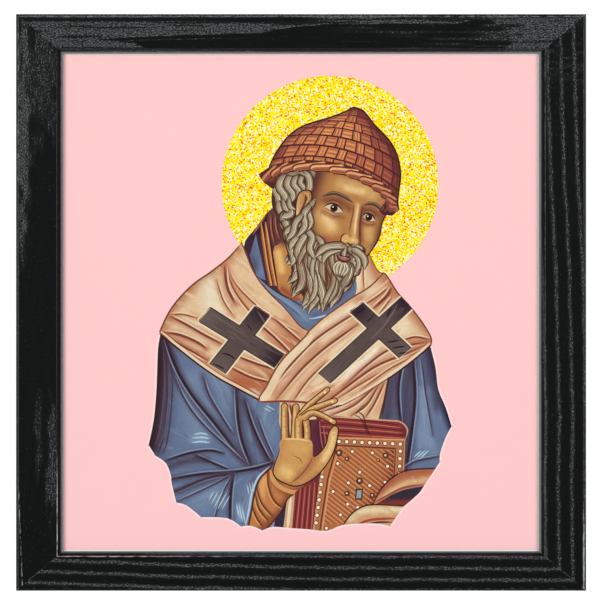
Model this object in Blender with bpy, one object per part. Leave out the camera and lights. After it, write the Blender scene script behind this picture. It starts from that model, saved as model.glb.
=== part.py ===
# A framed icon tile: a square glazed tile held in a mitred black wood frame that hangs on a wall.
# Units are metres. +Z is up and the picture faces -Y. The origin is the middle of the hanger's
# outer face, which lies against the wall.

from math import cos, hypot, pi, radians, sin

import bmesh
import bpy
from mathutils import Matrix, Vector

MM = 0.001

# The tile drives the frame: the rails reach a little way over its edges.
TILE_SIDE = 152.4 * MM
TILE_THICKNESS = 5.0 * MM
TILE_EDGE_ROUND = 0.9 * MM
SIDE_COVER = 4.8 * MM
CROSS_COVER = 1.5 * MM

# Rails, seen from the front. The side rails are a little wider than the top and bottom ones,
# so the mitres run from corner to corner at about 40 degrees.
SIDE_RAIL_WIDTH = 14.1 * MM
CROSS_RAIL_WIDTH = 11.8 * MM
MITRE_GAP = 0.3 * MM

# The moulding's section, as sizes on a side rail.
OUTER_ROUND = 0.9 * MM
INNER_ARRIS = 0.3 * MM
STEP_WIDTH = 1.6 * MM
LIP_WIDTH = 0.75 * MM
LIP_DEPTH = 1.2 * MM
LIP_THICKNESS = 0.7 * MM
LIP_ARRIS = 0.15 * MM
ROUND_SEGMENTS = 4

# The stack behind the lip.
FIT_GAP = 0.3 * MM
BOARD_THICKNESS = 3.2 * MM
BACK_RECESS = 1.3 * MM

# A sawtooth hanger, nailed to the back of the top rail.
HANGER_LENGTH = 44.0 * MM
HANGER_HEIGHT = 8.0 * MM
HANGER_SHEET = 0.8 * MM
HANGER_LIFT = 1.2 * MM
HANGER_END = 7.0 * MM
HANGER_RAMP = 1.6 * MM
TOOTH_PITCH = 2.0 * MM
TOOTH_DEPTH = 1.2 * MM

# The two nails that hold it.
NAIL_RADIUS = 0.6 * MM
NAIL_LENGTH = 6.5 * MM
NAIL_HEAD_RADIUS = 1.5 * MM
NAIL_HEAD_THICKNESS = 0.5 * MM
NAIL_SEGMENTS = 16
NAIL_TIP_GAP = 1.0 * MM

# Places that follow from the sizes above.
SHOULDER_DEPTH = LIP_DEPTH + LIP_THICKNESS
RABBET_HALF = TILE_SIDE / 2 + FIT_GAP
FRAME_WIDTH = TILE_SIDE - 2 * SIDE_COVER + 2 * SIDE_RAIL_WIDTH
FRAME_HEIGHT = TILE_SIDE - 2 * CROSS_COVER + 2 * CROSS_RAIL_WIDTH
FRAME_DEPTH = (
    SHOULDER_DEPTH + FIT_GAP + TILE_THICKNESS + FIT_GAP + BOARD_THICKNESS + BACK_RECESS
)
BACK_Y = -(HANGER_LIFT + HANGER_SHEET + FIT_GAP)
FACE_Y = BACK_Y - FRAME_DEPTH
TOP_LAND = FRAME_HEIGHT / 2 - RABBET_HALF
CENTRE_Z = TOP_LAND / 2 - FRAME_HEIGHT / 2
TILE_FRONT_Y = FACE_Y + SHOULDER_DEPTH + FIT_GAP
BOARD_FRONT_Y = TILE_FRONT_Y + TILE_THICKNESS + FIT_GAP
NAIL_X = (HANGER_LENGTH - HANGER_END) / 2
NAIL_HEAD_Y = FIT_GAP - HANGER_LIFT
NAIL_TIP_Y = NAIL_HEAD_Y - NAIL_LENGTH


def make_material(name, colour, roughness, metallic=0.0):
    """A Principled material of one colour."""
    material = bpy.data.materials.new(name)
    material.use_nodes = True
    shader = material.node_tree.nodes["Principled BSDF"]
    shader.inputs["Base Color"].default_value = (*colour, 1.0)
    shader.inputs["Roughness"].default_value = roughness
    shader.inputs["Metallic"].default_value = metallic
    return material


def make_object(name, mesh_builder, material, location=(0, 0, 0)):
    """Turns a bmesh into a named object with one material, its faces pointing out."""
    bmesh.ops.recalc_face_normals(mesh_builder, faces=mesh_builder.faces)
    mesh = bpy.data.meshes.new(name)
    mesh_builder.to_mesh(mesh)
    mesh_builder.free()
    mesh.materials.append(material)
    made = bpy.data.objects.new(name, mesh)
    made.location = location
    bpy.context.scene.collection.objects.link(made)
    return made


def box(size_x, size_y, size_z):
    """A bmesh box about the origin."""
    builder = bmesh.new()
    bmesh.ops.create_cube(builder, size=1.0)
    bmesh.ops.scale(builder, vec=(size_x, size_y, size_z), verts=builder.verts)
    return builder


def cut_round_hole(target, centre, radius, length):
    """Cuts a round hole along Y through target with a hidden cutter."""
    builder = bmesh.new()
    bmesh.ops.create_cone(
        builder,
        cap_ends=True,
        segments=NAIL_SEGMENTS,
        radius1=radius,
        radius2=radius,
        depth=length,
        matrix=Matrix.Rotation(radians(90), 4, "X"),
    )
    cutter = make_object(f"{target.name}_cutter", builder, target.data.materials[0], centre)
    cutter.hide_render = True
    cutter.display_type = "WIRE"
    hole = target.modifiers.new("nail hole", "BOOLEAN")
    hole.operation = "DIFFERENCE"
    hole.solver = "EXACT"
    hole.object = cutter


def rail_section(width, share, rabbet_wall):
    """(across, behind) points of a rail's section. Across is measured from the outer edge and behind
    from the face. share scales the front mouldings, so that they meet at the mitre."""
    points = [(0.0, FRAME_DEPTH)]
    for step in range(ROUND_SEGMENTS + 1):
        angle = pi / 2 * step / ROUND_SEGMENTS
        across = share * OUTER_ROUND * (1 - cos(angle))
        points.append((across, OUTER_ROUND * (1 - sin(angle))))
    step_start = width - share * STEP_WIDTH
    lip_start = width - share * LIP_WIDTH
    points.append((step_start - share * INNER_ARRIS, 0.0))
    points.append((step_start, INNER_ARRIS))
    points.append((lip_start, LIP_DEPTH))
    points.append((width - share * LIP_ARRIS, LIP_DEPTH))
    points.append((width, LIP_DEPTH + LIP_ARRIS))
    points.append((width, SHOULDER_DEPTH))
    points.append((rabbet_wall, SHOULDER_DEPTH))
    points.append((rabbet_wall, FRAME_DEPTH))
    return points


def make_rail(name, length, reach, width, other_width, rabbet_wall, turn, material):
    """One mitred rail, modelled along X with its outer edge up, then turned about Y into place.
    reach is how far its outer edge lies from the frame's middle."""
    share = width / SIDE_RAIL_WIDTH
    slope = other_width / width
    trim = MITRE_GAP / 2 * hypot(width, other_width) / width
    section = rail_section(width, share, rabbet_wall)
    builder = bmesh.new()
    corners = [builder.verts.new((-1, FACE_Y + behind, -across)) for across, behind in section]
    start = builder.faces.new(corners)
    pulled = bmesh.ops.extrude_face_region(builder, geom=[start])["geom"]
    far_end = [part for part in pulled if isinstance(part, bmesh.types.BMVert)]
    bmesh.ops.translate(builder, verts=far_end, vec=(2, 0, 0))
    for vertex in builder.verts:
        half = length / 2 + vertex.co.z * slope - trim
        vertex.co.x *= half
    rail = make_object(name, builder, material)
    turned = Matrix.Rotation(radians(turn), 4, "Y")
    place = turned @ Vector((0, 0, reach)) + Vector((0, 0, CENTRE_Z))
    rail.rotation_euler = (0, radians(turn), 0)
    rail.location = place
    return rail


def make_frame(material):
    """Four rails. The top one has pilot holes for the hanger's nails."""
    half_width = FRAME_WIDTH / 2
    half_height = FRAME_HEIGHT / 2
    cross_wall = half_height - RABBET_HALF
    side_wall = half_width - RABBET_HALF
    cross = (FRAME_WIDTH, half_height, CROSS_RAIL_WIDTH, SIDE_RAIL_WIDTH, cross_wall)
    side = (FRAME_HEIGHT, half_width, SIDE_RAIL_WIDTH, CROSS_RAIL_WIDTH, side_wall)
    top = make_rail("rail_top", *cross, 0, material)
    make_rail("rail_right", *side, 90, material)
    make_rail("rail_bottom", *cross, 180, material)
    make_rail("rail_left", *side, 270, material)
    pilot_depth = NAIL_TIP_GAP + BACK_Y - NAIL_TIP_Y
    for x in (-NAIL_X, NAIL_X):
        cut_round_hole(top, (x, BACK_Y, 0), NAIL_RADIUS + FIT_GAP, 2 * pilot_depth)


def make_tile(material):
    """The glazed tile, with its front edges rounded over."""
    builder = box(TILE_SIDE, TILE_THICKNESS, TILE_SIDE)
    front = [
        edge for edge in builder.edges if all(vertex.co.y < 0 for vertex in edge.verts)
    ]
    bmesh.ops.bevel(
        builder,
        geom=front,
        offset=TILE_EDGE_ROUND,
        segments=ROUND_SEGMENTS,
        profile=0.5,
        affect="EDGES",
    )
    make_object("tile", builder, material, (0, TILE_FRONT_Y + TILE_THICKNESS / 2, CENTRE_Z))


def make_board(material):
    """The hardboard that closes the back, lying in the rabbet behind the tile."""
    builder = box(TILE_SIDE, BOARD_THICKNESS, TILE_SIDE)
    centre_y = BOARD_FRONT_Y + BOARD_THICKNESS / 2
    make_object("backing_board", builder, material, (0, centre_y, CENTRE_Z))


def hanger_stations():
    """(x, outer face y, bottom z) along the hanger: flat end, ramp, toothed middle, ramp, flat end."""
    half = HANGER_LENGTH / 2
    foot = -HANGER_HEIGHT / 2
    middle = half - HANGER_END - HANGER_RAMP
    teeth = int(2 * middle / TOOTH_PITCH) - 1
    first = -teeth * TOOTH_PITCH / 2
    stations = [(-half, -HANGER_LIFT, foot), (-half + HANGER_END, -HANGER_LIFT, foot)]
    stations.append((-middle, 0.0, foot))
    for tooth in range(teeth):
        root = first + tooth * TOOTH_PITCH
        stations.append((root, 0.0, foot))
        stations.append((root + TOOTH_PITCH / 2, 0.0, foot + TOOTH_DEPTH))
    stations.append((-first, 0.0, foot))
    stations.append((middle, 0.0, foot))
    stations.append((half - HANGER_END, -HANGER_LIFT, foot))
    stations.append((half, -HANGER_LIFT, foot))
    return stations


def make_hanger(material):
    """A strip of sheet steel, lofted along X through its stations, with a hole in each end."""
    builder = bmesh.new()
    top = HANGER_HEIGHT / 2
    loops = []
    for x, outer, bottom in hanger_stations():
        inner = outer - HANGER_SHEET
        ring = [(outer, top), (outer, bottom), (inner, bottom), (inner, top)]
        loops.append([builder.verts.new((x, y, z)) for y, z in ring])
    builder.faces.new(loops[0])
    builder.faces.new(loops[-1])
    for near, far in zip(loops, loops[1:]):
        for side in range(4):
            after = (side + 1) % 4
            builder.faces.new((near[side], near[after], far[after], far[side]))
    hanger = make_object("hanger", builder, material)
    for x in (-NAIL_X, NAIL_X):
        cut_round_hole(hanger, (x, -HANGER_LIFT, 0), NAIL_RADIUS + FIT_GAP, 4 * HANGER_SHEET)


def make_nail(name, x, material):
    """A nail turned about Y: a flat head outside the hanger's end and a shank into the rail."""
    head_outer = NAIL_HEAD_Y + NAIL_HEAD_THICKNESS
    outline = [
        (0.0, head_outer),
        (NAIL_HEAD_RADIUS, head_outer),
        (NAIL_HEAD_RADIUS, NAIL_HEAD_Y),
        (NAIL_RADIUS, NAIL_HEAD_Y),
        (NAIL_RADIUS, NAIL_TIP_Y + 2 * NAIL_RADIUS),
        (0.0, NAIL_TIP_Y),
    ]
    builder = bmesh.new()
    line = [builder.verts.new((radius, y, 0)) for radius, y in outline]
    edges = [builder.edges.new(pair) for pair in zip(line, line[1:])]
    bmesh.ops.spin(
        builder,
        geom=line + edges,
        cent=(0, 0, 0),
        axis=(0, 1, 0),
        angle=2 * pi,
        steps=NAIL_SEGMENTS,
        use_merge=True,
    )
    bmesh.ops.remove_doubles(builder, verts=builder.verts, dist=0.01 * MM)
    nail = make_object(name, builder, material, (x, 0, 0))
    nail.data.shade_smooth()
    nail.data.set_sharp_from_angle(angle=radians(40))


def build():
    """Clears the scene and builds every piece."""
    for old in list(bpy.data.objects):
        bpy.data.objects.remove(old)
    black_wood = make_material("black_wood", (0.012, 0.012, 0.012), 0.45)
    glaze = make_material("glaze", (0.9, 0.89, 0.88), 0.12)
    hardboard = make_material("hardboard", (0.22, 0.13, 0.07), 0.8)
    steel = make_material("steel", (0.55, 0.53, 0.48), 0.35, 1.0)
    make_frame(black_wood)
    make_tile(glaze)
    make_board(hardboard)
    make_hanger(steel)
    make_nail("hanger_nail_left", -NAIL_X, steel)
    make_nail("hanger_nail_right", NAIL_X, steel)


build()
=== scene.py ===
# %% [markdown]
# # A framed icon tile
#
# A six inch glazed tile carries a printed icon: a haloed bishop saint in a blue robe and a cream
# stole, on a pink ground. Four mitred rails of black-stained open-grain wood frame it, and a
# sawtooth hanger on the top rail's back holds it to the wall. This lesson dresses the packed
# model. The solids already have the right sizes, so every step reads its places from them.

# %% Load the frame
from math import cos, hypot, pi, radians, sin

import bpy
import numpy as np
from mathutils import Matrix, Vector
from mathutils.geometry import delaunay_2d_cdt


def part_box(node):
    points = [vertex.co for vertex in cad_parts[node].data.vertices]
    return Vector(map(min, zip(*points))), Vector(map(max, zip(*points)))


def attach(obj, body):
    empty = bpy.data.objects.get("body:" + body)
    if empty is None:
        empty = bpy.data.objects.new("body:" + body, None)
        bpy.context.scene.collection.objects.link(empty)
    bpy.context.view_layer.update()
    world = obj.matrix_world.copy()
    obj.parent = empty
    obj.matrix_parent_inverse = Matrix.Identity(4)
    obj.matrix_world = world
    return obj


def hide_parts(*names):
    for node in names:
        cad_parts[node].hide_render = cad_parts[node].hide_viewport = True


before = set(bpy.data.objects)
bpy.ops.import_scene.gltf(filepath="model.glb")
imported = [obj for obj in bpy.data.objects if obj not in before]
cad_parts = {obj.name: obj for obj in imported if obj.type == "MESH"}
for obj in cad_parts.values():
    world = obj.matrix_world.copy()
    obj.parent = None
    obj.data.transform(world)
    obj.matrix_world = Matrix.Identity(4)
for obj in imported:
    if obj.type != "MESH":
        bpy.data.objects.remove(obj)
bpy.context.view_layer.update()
print("solids", sorted(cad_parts))

# %% [markdown]
# The picture faces -Y and +Z is up. A few places are read off the solids: the frame's face, the
# opening that the rails leave, and the tile's front. All drawing on the tile is then done in
# millimetres from the middle of that opening, to the right and up.

# %% Read the places
MM = 0.001
top_low, top_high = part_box("rail_top")
right_low, right_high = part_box("rail_right")
bottom_low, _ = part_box("rail_bottom")
tile_low, tile_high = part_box("tile")

FACE_Y = top_low.y
BACK_Y = top_high.y
CENTRE_Z = (top_high.z + bottom_low.z) / 2
FRAME_HALF_WIDTH = right_high.x
FRAME_HALF_HEIGHT = (top_high.z - bottom_low.z) / 2
OPEN_HALF_WIDTH = right_low.x
OPEN_HALF_HEIGHT = top_low.z - CENTRE_Z
TILE_HALF = tile_high.x
TILE_FRONT_Y = tile_low.y
print(f"opening {2000 * OPEN_HALF_WIDTH:.1f} x {2000 * OPEN_HALF_HEIGHT:.1f} mm")

# %% [markdown]
# Small helpers keep the modelling short. Blender's operators act on whatever is selected, and the
# loaded solids start selected, so each new piece begins with an empty selection.


# %% Helpers for modelling by hand
def deselect():
    """Leaves nothing selected."""
    bpy.ops.object.select_all(action="DESELECT")


def name_piece(name):
    """Names the active object and its mesh, and returns the object."""
    piece = bpy.context.object
    piece.name = name
    piece.data.name = name
    return piece


def edit(piece):
    """Opens one piece in edit mode with everything in it selected."""
    deselect()
    piece.select_set(True)
    bpy.context.view_layer.objects.active = piece
    bpy.ops.object.mode_set(mode="EDIT")
    bpy.ops.mesh.select_all(action="SELECT")


def object_mode():
    """Goes back to object mode."""
    bpy.ops.object.mode_set(mode="OBJECT")


def get_points(mesh):
    """A mesh's vertices as an array of rows."""
    flat = np.empty(len(mesh.vertices) * 3)
    mesh.vertices.foreach_get("co", flat)
    return flat.reshape(-1, 3)


def set_points(mesh, points):
    """Moves a mesh's vertices to the rows of an array."""
    mesh.vertices.foreach_set("co", np.asarray(points, dtype=float).ravel())
    mesh.update()


def store(mesh, name, values, domain="POINT"):
    """Keeps one number, or one row of three, for each vertex or corner as a named attribute."""
    values = np.asarray(values, dtype=float)
    kind, field = ("FLOAT", "value") if values.ndim == 1 else ("FLOAT_VECTOR", "vector")
    layer = mesh.attributes.new(name, kind, domain)
    layer.data.foreach_set(field, values.ravel())


def smooth_step(low, high, values):
    """0 below low, 1 above high, and a soft ramp between."""
    ramp = np.clip((values - low) / (high - low), 0, 1)
    return ramp * ramp * (3 - 2 * ramp)


NOISE_CELLS = 256
LAST_CELL = NOISE_CELLS - 1
NOISE_TABLE = np.random.default_rng(7).uniform(-1, 1, (NOISE_CELLS, NOISE_CELLS))


def lumps(x, y, size_x, size_y, shift=0):
    """Soft random values from -1 to 1 over a plane, one lump to each cell of the given size."""
    x = np.asarray(x) / size_x + shift * 17.3
    y = np.asarray(y) / size_y + shift * 31.7
    column, row = np.floor(x).astype(int), np.floor(y).astype(int)
    across, along = smooth_step(0, 1, x - column), smooth_step(0, 1, y - row)
    near = NOISE_TABLE[column & LAST_CELL, row & LAST_CELL]
    right = NOISE_TABLE[(column + 1) & LAST_CELL, row & LAST_CELL]
    above = NOISE_TABLE[column & LAST_CELL, (row + 1) & LAST_CELL]
    far = NOISE_TABLE[(column + 1) & LAST_CELL, (row + 1) & LAST_CELL]
    low = near + (right - near) * across
    high = above + (far - above) * across
    return low + (high - low) * along


# %% [markdown]
# Every finish here is built from shader nodes. Maths on sockets reads best as maths, so a small
# class lets Python's operators add the Math nodes, and one method adds any other node.


# %% A class for shader maths
def to_linear(colour):
    """A screen colour of 0 to 255 as the linear numbers that a shader works with."""
    shares = [part / 255 for part in colour]
    return tuple(s / 12.92 if s <= 0.04045 else ((s + 0.055) / 1.055) ** 2.4 for s in shares)


class Value:
    """An output socket that understands +, - and *."""

    def __init__(self, finish, socket):
        self.finish = finish
        self.socket = socket

    def math(self, operation, first, second):
        """A Math node on two values."""
        return self.finish.node("ShaderNodeMath", {"operation": operation}, {0: first, 1: second})

    def __add__(self, other):
        return self.math("ADD", self, other)

    __radd__ = __add__

    def __sub__(self, other):
        return self.math("SUBTRACT", self, other)

    def __rsub__(self, other):
        return self.math("SUBTRACT", other, self)

    def __mul__(self, other):
        return self.math("MULTIPLY", self, other)

    __rmul__ = __mul__

    def clamp(self):
        """This value held between 0 and 1."""
        return self.finish.node("ShaderNodeClamp", {}, {"Value": self})

    def above(self, low, high):
        """A soft step from 0 at low to 1 at high."""
        ramp = {"interpolation_type": "SMOOTHSTEP"}
        return self.finish.node("ShaderNodeMapRange", ramp, {0: self, 1: low, 2: high})


class Finish:
    """One material, with its Principled shader."""

    def __init__(self, name, **constants):
        self.material = bpy.data.materials.new(name)
        self.material.use_nodes = True
        self.tree = self.material.node_tree
        self.shader = self.tree.nodes["Principled BSDF"]
        for socket, value in constants.items():
            self.shader.inputs[socket.replace("_", " ")].default_value = value

    def feed(self, socket, value):
        """Links a value to a socket, or sets the socket to a plain number or colour."""
        if isinstance(value, Value):
            self.tree.links.new(value.socket, socket)
        elif isinstance(value, tuple) and len(value) == 3 and socket.type == "RGBA":
            socket.default_value = (*value, 1.0)
        else:
            socket.default_value = value

    def node(self, kind, settings, sockets, output=0):
        """Any node: its type, its settings, and the values or links of its sockets."""
        made = self.tree.nodes.new(kind)
        stops = settings.get("stops", ())
        for setting, value in settings.items():
            if setting != "stops":
                setattr(made, setting, value)
        for place, (position, colour) in enumerate(stops):
            ramp = made.color_ramp.elements
            stop = ramp[place] if place < 2 else ramp.new(position)
            stop.position = position
            stop.color = (*colour, 1.0)
        for socket, value in sockets.items():
            self.feed(made.inputs[socket], value)
        return Value(self, made.outputs[output])

    def mix(self, share, first, second):
        """Blends two colours: first at 0, second at 1."""
        return self.node("ShaderNodeMix", {"data_type": "RGBA"}, {0: share, 6: first, 7: second}, 2)

    def attribute(self, name, output="Fac"):
        """A number, colour or vector kept on the mesh."""
        return self.node("ShaderNodeAttribute", {"attribute_name": name}, {}, output)

    def scaled(self, vector, sizes):
        """A vector multiplied part by part."""
        sockets = {0: vector, 1: sizes}
        return self.node("ShaderNodeVectorMath", {"operation": "MULTIPLY"}, sockets)

    def noise(self, vector, scale, detail=2.0, roughness=0.5):
        """Noise from 0 to 1."""
        sockets = {"Vector": vector, "Scale": scale, "Detail": detail, "Roughness": roughness}
        return self.node("ShaderNodeTexNoise", {}, sockets, "Fac")

    def bump(self, height, distance, strength=1.0):
        """Feeds a Bump node, with its distance in metres, to the shader's normal."""
        sockets = {"Height": height, "Distance": distance, "Strength": strength}
        made = self.node("ShaderNodeBump", {}, sockets, "Normal")
        self.feed(self.shader.inputs["Normal"], made)

    def surface(self, socket, value):
        """Feeds one of the Principled shader's sockets."""
        self.feed(self.shader.inputs[socket], value)


# %% [markdown]
# The photograph looks straight at the face, with next to no perspective, so a long lens stands
# well back. The frame fills a picture of 600 x 600 pixels at 0.3 mm a pixel, just off centre.
# The tile's colours need even light. Two big soft lamps stand well to the sides, where a flat
# face doesn't mirror them, so that the black wood stays black and only its edges catch light. A
# third lamp behind the frame lights its back.

# %% Camera, lamps and floor
PICTURE_PIXELS = 600
PIXEL = 0.3 * MM
CAMERA_DISTANCE = 1.2
SENSOR = 36.0
FRAME_MIDDLE_PIXEL = (301.1, 302.4)
OUTER_ROUND = 0.9 * MM
RIM_Y = FACE_Y + OUTER_ROUND

camera_data = bpy.data.cameras.new("camera")
camera_data.sensor_width = SENSOR
camera_data.lens = SENSOR * CAMERA_DISTANCE / (PICTURE_PIXELS * PIXEL)
camera = bpy.data.objects.new("camera", camera_data)
bpy.context.scene.collection.objects.link(camera)
camera.location = (
    (PICTURE_PIXELS / 2 - FRAME_MIDDLE_PIXEL[0]) * PIXEL,
    RIM_Y - CAMERA_DISTANCE,
    CENTRE_Z - (PICTURE_PIXELS / 2 - FRAME_MIDDLE_PIXEL[1]) * PIXEL,
)
camera.rotation_euler = (radians(90), 0, 0)
bpy.context.scene.camera = camera


LAMP_SIDE = 1.2
FRONT_WATTS, BACK_WATTS = 23.5, 18.0


def add_lamp(name, place, watts):
    """A square soft lamp that faces the tile."""
    lamp = bpy.data.lights.new(name, "AREA")
    lamp.size = LAMP_SIDE
    lamp.energy = watts
    holder = bpy.data.objects.new(name, lamp)
    bpy.context.scene.collection.objects.link(holder)
    holder.location = place
    aim = Vector((0, 0, CENTRE_Z)) - Vector(place)
    holder.rotation_euler = aim.to_track_quat("-Z", "Y").to_euler()


add_lamp("left_lamp", (-1.2, -1.35, CENTRE_Z + 0.3), FRONT_WATTS)
add_lamp("right_lamp", (1.2, -1.35, CENTRE_Z + 0.4), FRONT_WATTS)
add_lamp("back_lamp", (0.4, 1.8, CENTRE_Z + 0.9), BACK_WATTS)

FLOOR_DROP = 1.2
FLOOR_SIDE = 10.0
deselect()
bpy.ops.mesh.primitive_plane_add(size=FLOOR_SIDE, location=(0, 0, CENTRE_Z - FLOOR_DROP))
floor = name_piece("floor")
pale = Finish("pale_floor", Roughness=0.9, Base_Color=(0.82, 0.82, 0.81, 1.0))
floor.data.materials.append(pale.material)

# %% [markdown]
# The picture's ground outside the frame is pure white, but white all round would put a grey
# veil on the black wood. So the world is white where the camera looks straight at it, and a
# dim grey for the light that it sheds.

# %% World
SHED_GREY = 0.16
SEEN_STRENGTH = 1.05
world = bpy.data.worlds.new("studio")
bpy.context.scene.world = world
world.use_nodes = True
nodes, links = world.node_tree.nodes, world.node_tree.links
seen = nodes["Background"]
seen.inputs["Color"].default_value = (1, 1, 1, 1)
seen.inputs["Strength"].default_value = SEEN_STRENGTH
shed = nodes.new("ShaderNodeBackground")
shed.inputs["Color"].default_value = (SHED_GREY, SHED_GREY, SHED_GREY, 1)
rays = nodes.new("ShaderNodeLightPath")
choose = nodes.new("ShaderNodeMixShader")
links.new(rays.outputs["Is Camera Ray"], choose.inputs["Fac"])
links.new(shed.outputs["Background"], choose.inputs[1])
links.new(seen.outputs["Background"], choose.inputs[2])
links.new(choose.outputs["Shader"], nodes["World Output"].inputs["Surface"])
bpy.context.scene.view_settings.view_transform = "Standard"

# %% [markdown]
# ## The rails
#
# A picture-frame rail is one length of moulding, run through a shaper, mitred at both ends, and
# on this frame stained black over an open grain. Its section could be drawn as a curve and
# extruded, but the grain needs a dense, even skin. So a flat grid is laid down, and its rows are
# rolled round the section: up the outer edge, over the small round, across the face, down the
# step to the sight lip, and back through the rabbet. Each column then slides along to its mitre.

# %% The moulding's section
RAIL_DEPTH = BACK_Y - FACE_Y
SIDE_WIDTH = FRAME_HALF_WIDTH - OPEN_HALF_WIDTH
CROSS_WIDTH = FRAME_HALF_HEIGHT - OPEN_HALF_HEIGHT
ROUND_POINTS = 6
STEP_WIDTH = 1.6 * MM
ARRIS = 0.25 * MM
LIP_WIDTH = 0.75 * MM
LIP_DEPTH = 1.2 * MM
LIP_ARRIS = 0.15 * MM
SHOULDER_DEPTH = 1.9 * MM
FIT_GAP = 0.3 * MM
RABBET_HALF = TILE_HALF + FIT_GAP


def spread(start, end, step):
    """Points from start to just short of end, about one step apart."""
    count = max(1, round(hypot(end[0] - start[0], end[1] - start[1]) / step))
    return [
        (start[0] + (end[0] - start[0]) * k / count, start[1] + (end[1] - start[1]) * k / count)
        for k in range(count)
    ]


def section(width, wall):
    """(across, behind) points round a rail's section, from the back outer corner and back to it."""
    share = width / SIDE_WIDTH
    step_start = width - share * STEP_WIDTH
    lip_start = width - share * LIP_WIDTH
    turn = [(share * OUTER_ROUND * (1 - cos(a)), OUTER_ROUND * (1 - sin(a)))
            for a in np.linspace(0, pi / 2, ROUND_POINTS)]
    face_end = (step_start - share * ARRIS, 0)
    lip_end = (width - share * LIP_ARRIS, LIP_DEPTH)
    points = spread((0, RAIL_DEPTH), turn[0], 0.9 * MM) + turn[:-1]
    place = turn[-1]
    for corner, spacing in (
        (face_end, 0.2),
        ((step_start, ARRIS), 0.15),
        ((lip_start, LIP_DEPTH), 0.25),
        (lip_end, 0.2),
        ((width, LIP_DEPTH + LIP_ARRIS), 0.1),
        ((width, SHOULDER_DEPTH), 0.4),
        ((wall, SHOULDER_DEPTH), 3),
        ((wall, RAIL_DEPTH), 3),
        ((0, RAIL_DEPTH), 1.5),
    ):
        points += spread(place, corner, spacing * MM)
        place = corner
    return np.array(points + [place])


print("points round a side rail", len(section(SIDE_WIDTH, FRAME_HALF_WIDTH - RABBET_HALF)))

# %% [markdown]
# The grain is what gives this frame its look. Soft early wood wears into a rough band, shown grey
# with painted glints in its pores, and hard late wood between the bands stays smooth and black.
# Each rail was cut from another part of the board, so each has its own figure, as a share from 0,
# smooth, to 1, rough. Places are in millimetres: along the picture's own direction, and across
# from the rail's outer edge.


# %% The figure of each rail
def bands(along, across, drift, spacing, width):
    """Rough bands at even spacing, which drift together along the rail."""
    middle = np.interp(along, *zip(*drift)) + 0.18 * lumps(along, across * 0, 9, 1, 3)
    offset = np.abs((across - middle + spacing / 2) % spacing - spacing / 2)
    wobble = 0.15 * lumps(along, across, 2.2, 0.7, 5)
    return smooth_step(width / 2 + 0.5, width / 2 - 0.5, offset + wobble)


def patch(along, across, middle, reach):
    """A soft oval of roughness."""
    place = np.hypot((along - middle[0]) / reach[0], (across - middle[1]) / reach[1])
    return smooth_step(1.15, 0.4, place + 0.35 * lumps(along, across, 5, 1.2, 8))


TOP_UPPER = ((-66, 7.9), (-51, 7.2), (-45, 6.7), (-12, 5.7), (0, 3.5), (9, 3.0), (46, 3.1),
             (49, 2.3), (53, 1.1), (57, 1.7), (60, 3.8), (62, 5.6), (63.4, 8.3), (64, 10))
TOP_VEIN = ((-66, 8.2), (-45, 7.8), (-34, 7.5), (-26, 7.4), (0, 7.1))
TOP_LOWER = ((-66, 7.8), (-55, 8.2), (-50, 8.6), (-46, 10.6), (60, 12), (61.3, 10.2), (64, 8.3))


def top_figure(along, across):
    """Plain-sawn wood: rough all over but for one long smooth tongue."""
    wave = 0.25 * lumps(along, across * 0, 6, 1, 2)
    upper = across - np.interp(along, *zip(*TOP_UPPER)) + wave
    lower = np.interp(along, *zip(*TOP_LOWER)) - across + wave
    tongue = smooth_step(-0.15, 0.25, np.minimum(upper, lower))
    tongue = tongue * (along > -66) * (along < 64)
    streak = smooth_step(0.2, 0.7, lumps(along, across, 16, 0.5, 4))
    edge = smooth_step(0.9, 0.2, np.abs(across - 1.7)) * smooth_step(7, -3, along)
    faint = 0.62 * smooth_step(-0.1, 0.7, lumps(along, across, 14, 0.7, 6)) * smooth_step(-5, 25, along)
    vein = smooth_step(0.24, 0.06, np.abs(across - np.interp(along, *zip(*TOP_VEIN)) - wave * 0.5))
    faint = np.maximum(faint, vein * smooth_step(0, -30, along) * 0.7)
    rough = 1 - 0.5 * streak - 0.75 * edge
    return 0.84 * rough * (1 - tongue) + faint * tongue


BOTTOM_DRIFT = ((-82, 9.5), (-70, 9.0), (-30, 7.65), (0, 7.05), (45, 6.75), (84, 6.6))
RIGHT_DRIFT = ((-84, 8.1), (-54, 8.4), (-29, 8.1), (7, 9.0), (31, 10.2), (60, 11.3), (84, 12.0))


def bottom_figure(along, across):
    """Quarter-sawn wood: even bands from end to end."""
    return bands(along, across, BOTTOM_DRIFT, 3.4, 1.2) * 0.84


def right_figure(along, across):
    """Even bands again, further apart, with flecks across them near the top."""
    flecks = 0.55 * smooth_step(58, 72, along) * smooth_step(-0.2, 0.8, lumps(along, across, 0.6, 3, 9))
    return np.maximum(bands(along, across, RIGHT_DRIFT, 4.05, 1.15) * 0.76, flecks)


def left_figure(along, across):
    """Almost all late wood, with rough patches at its edges."""
    outer = patch(along, across, (52, 2.2), (44, 2.6)) * 0.8
    inner = patch(along, across, (-47, 10.6), (22, 2.2)) * 0.66
    middle = patch(along, across, (-38, 6.7), (14, 1.5)) * 0.52
    sparse = patch(along, across, (70, 8), (26, 6)) * 0.56
    return np.maximum.reduce([outer, inner, middle, sparse])


# %% [markdown]
# Stain also wears off where hands and cloths rub: at the mitres, and in one long scratch on the
# left rail. Painted highlights run along the arris by the lip and along the outer round. Wear and
# highlights go in a second share, of bare light wear and painted highlight.


# %% The wear and painted highlights of each rail
def thin_line(distance, width=0.16):
    """1 on a line and 0 a little way off it."""
    return smooth_step(width * 1.6, width * 0.4, np.abs(distance))


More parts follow.
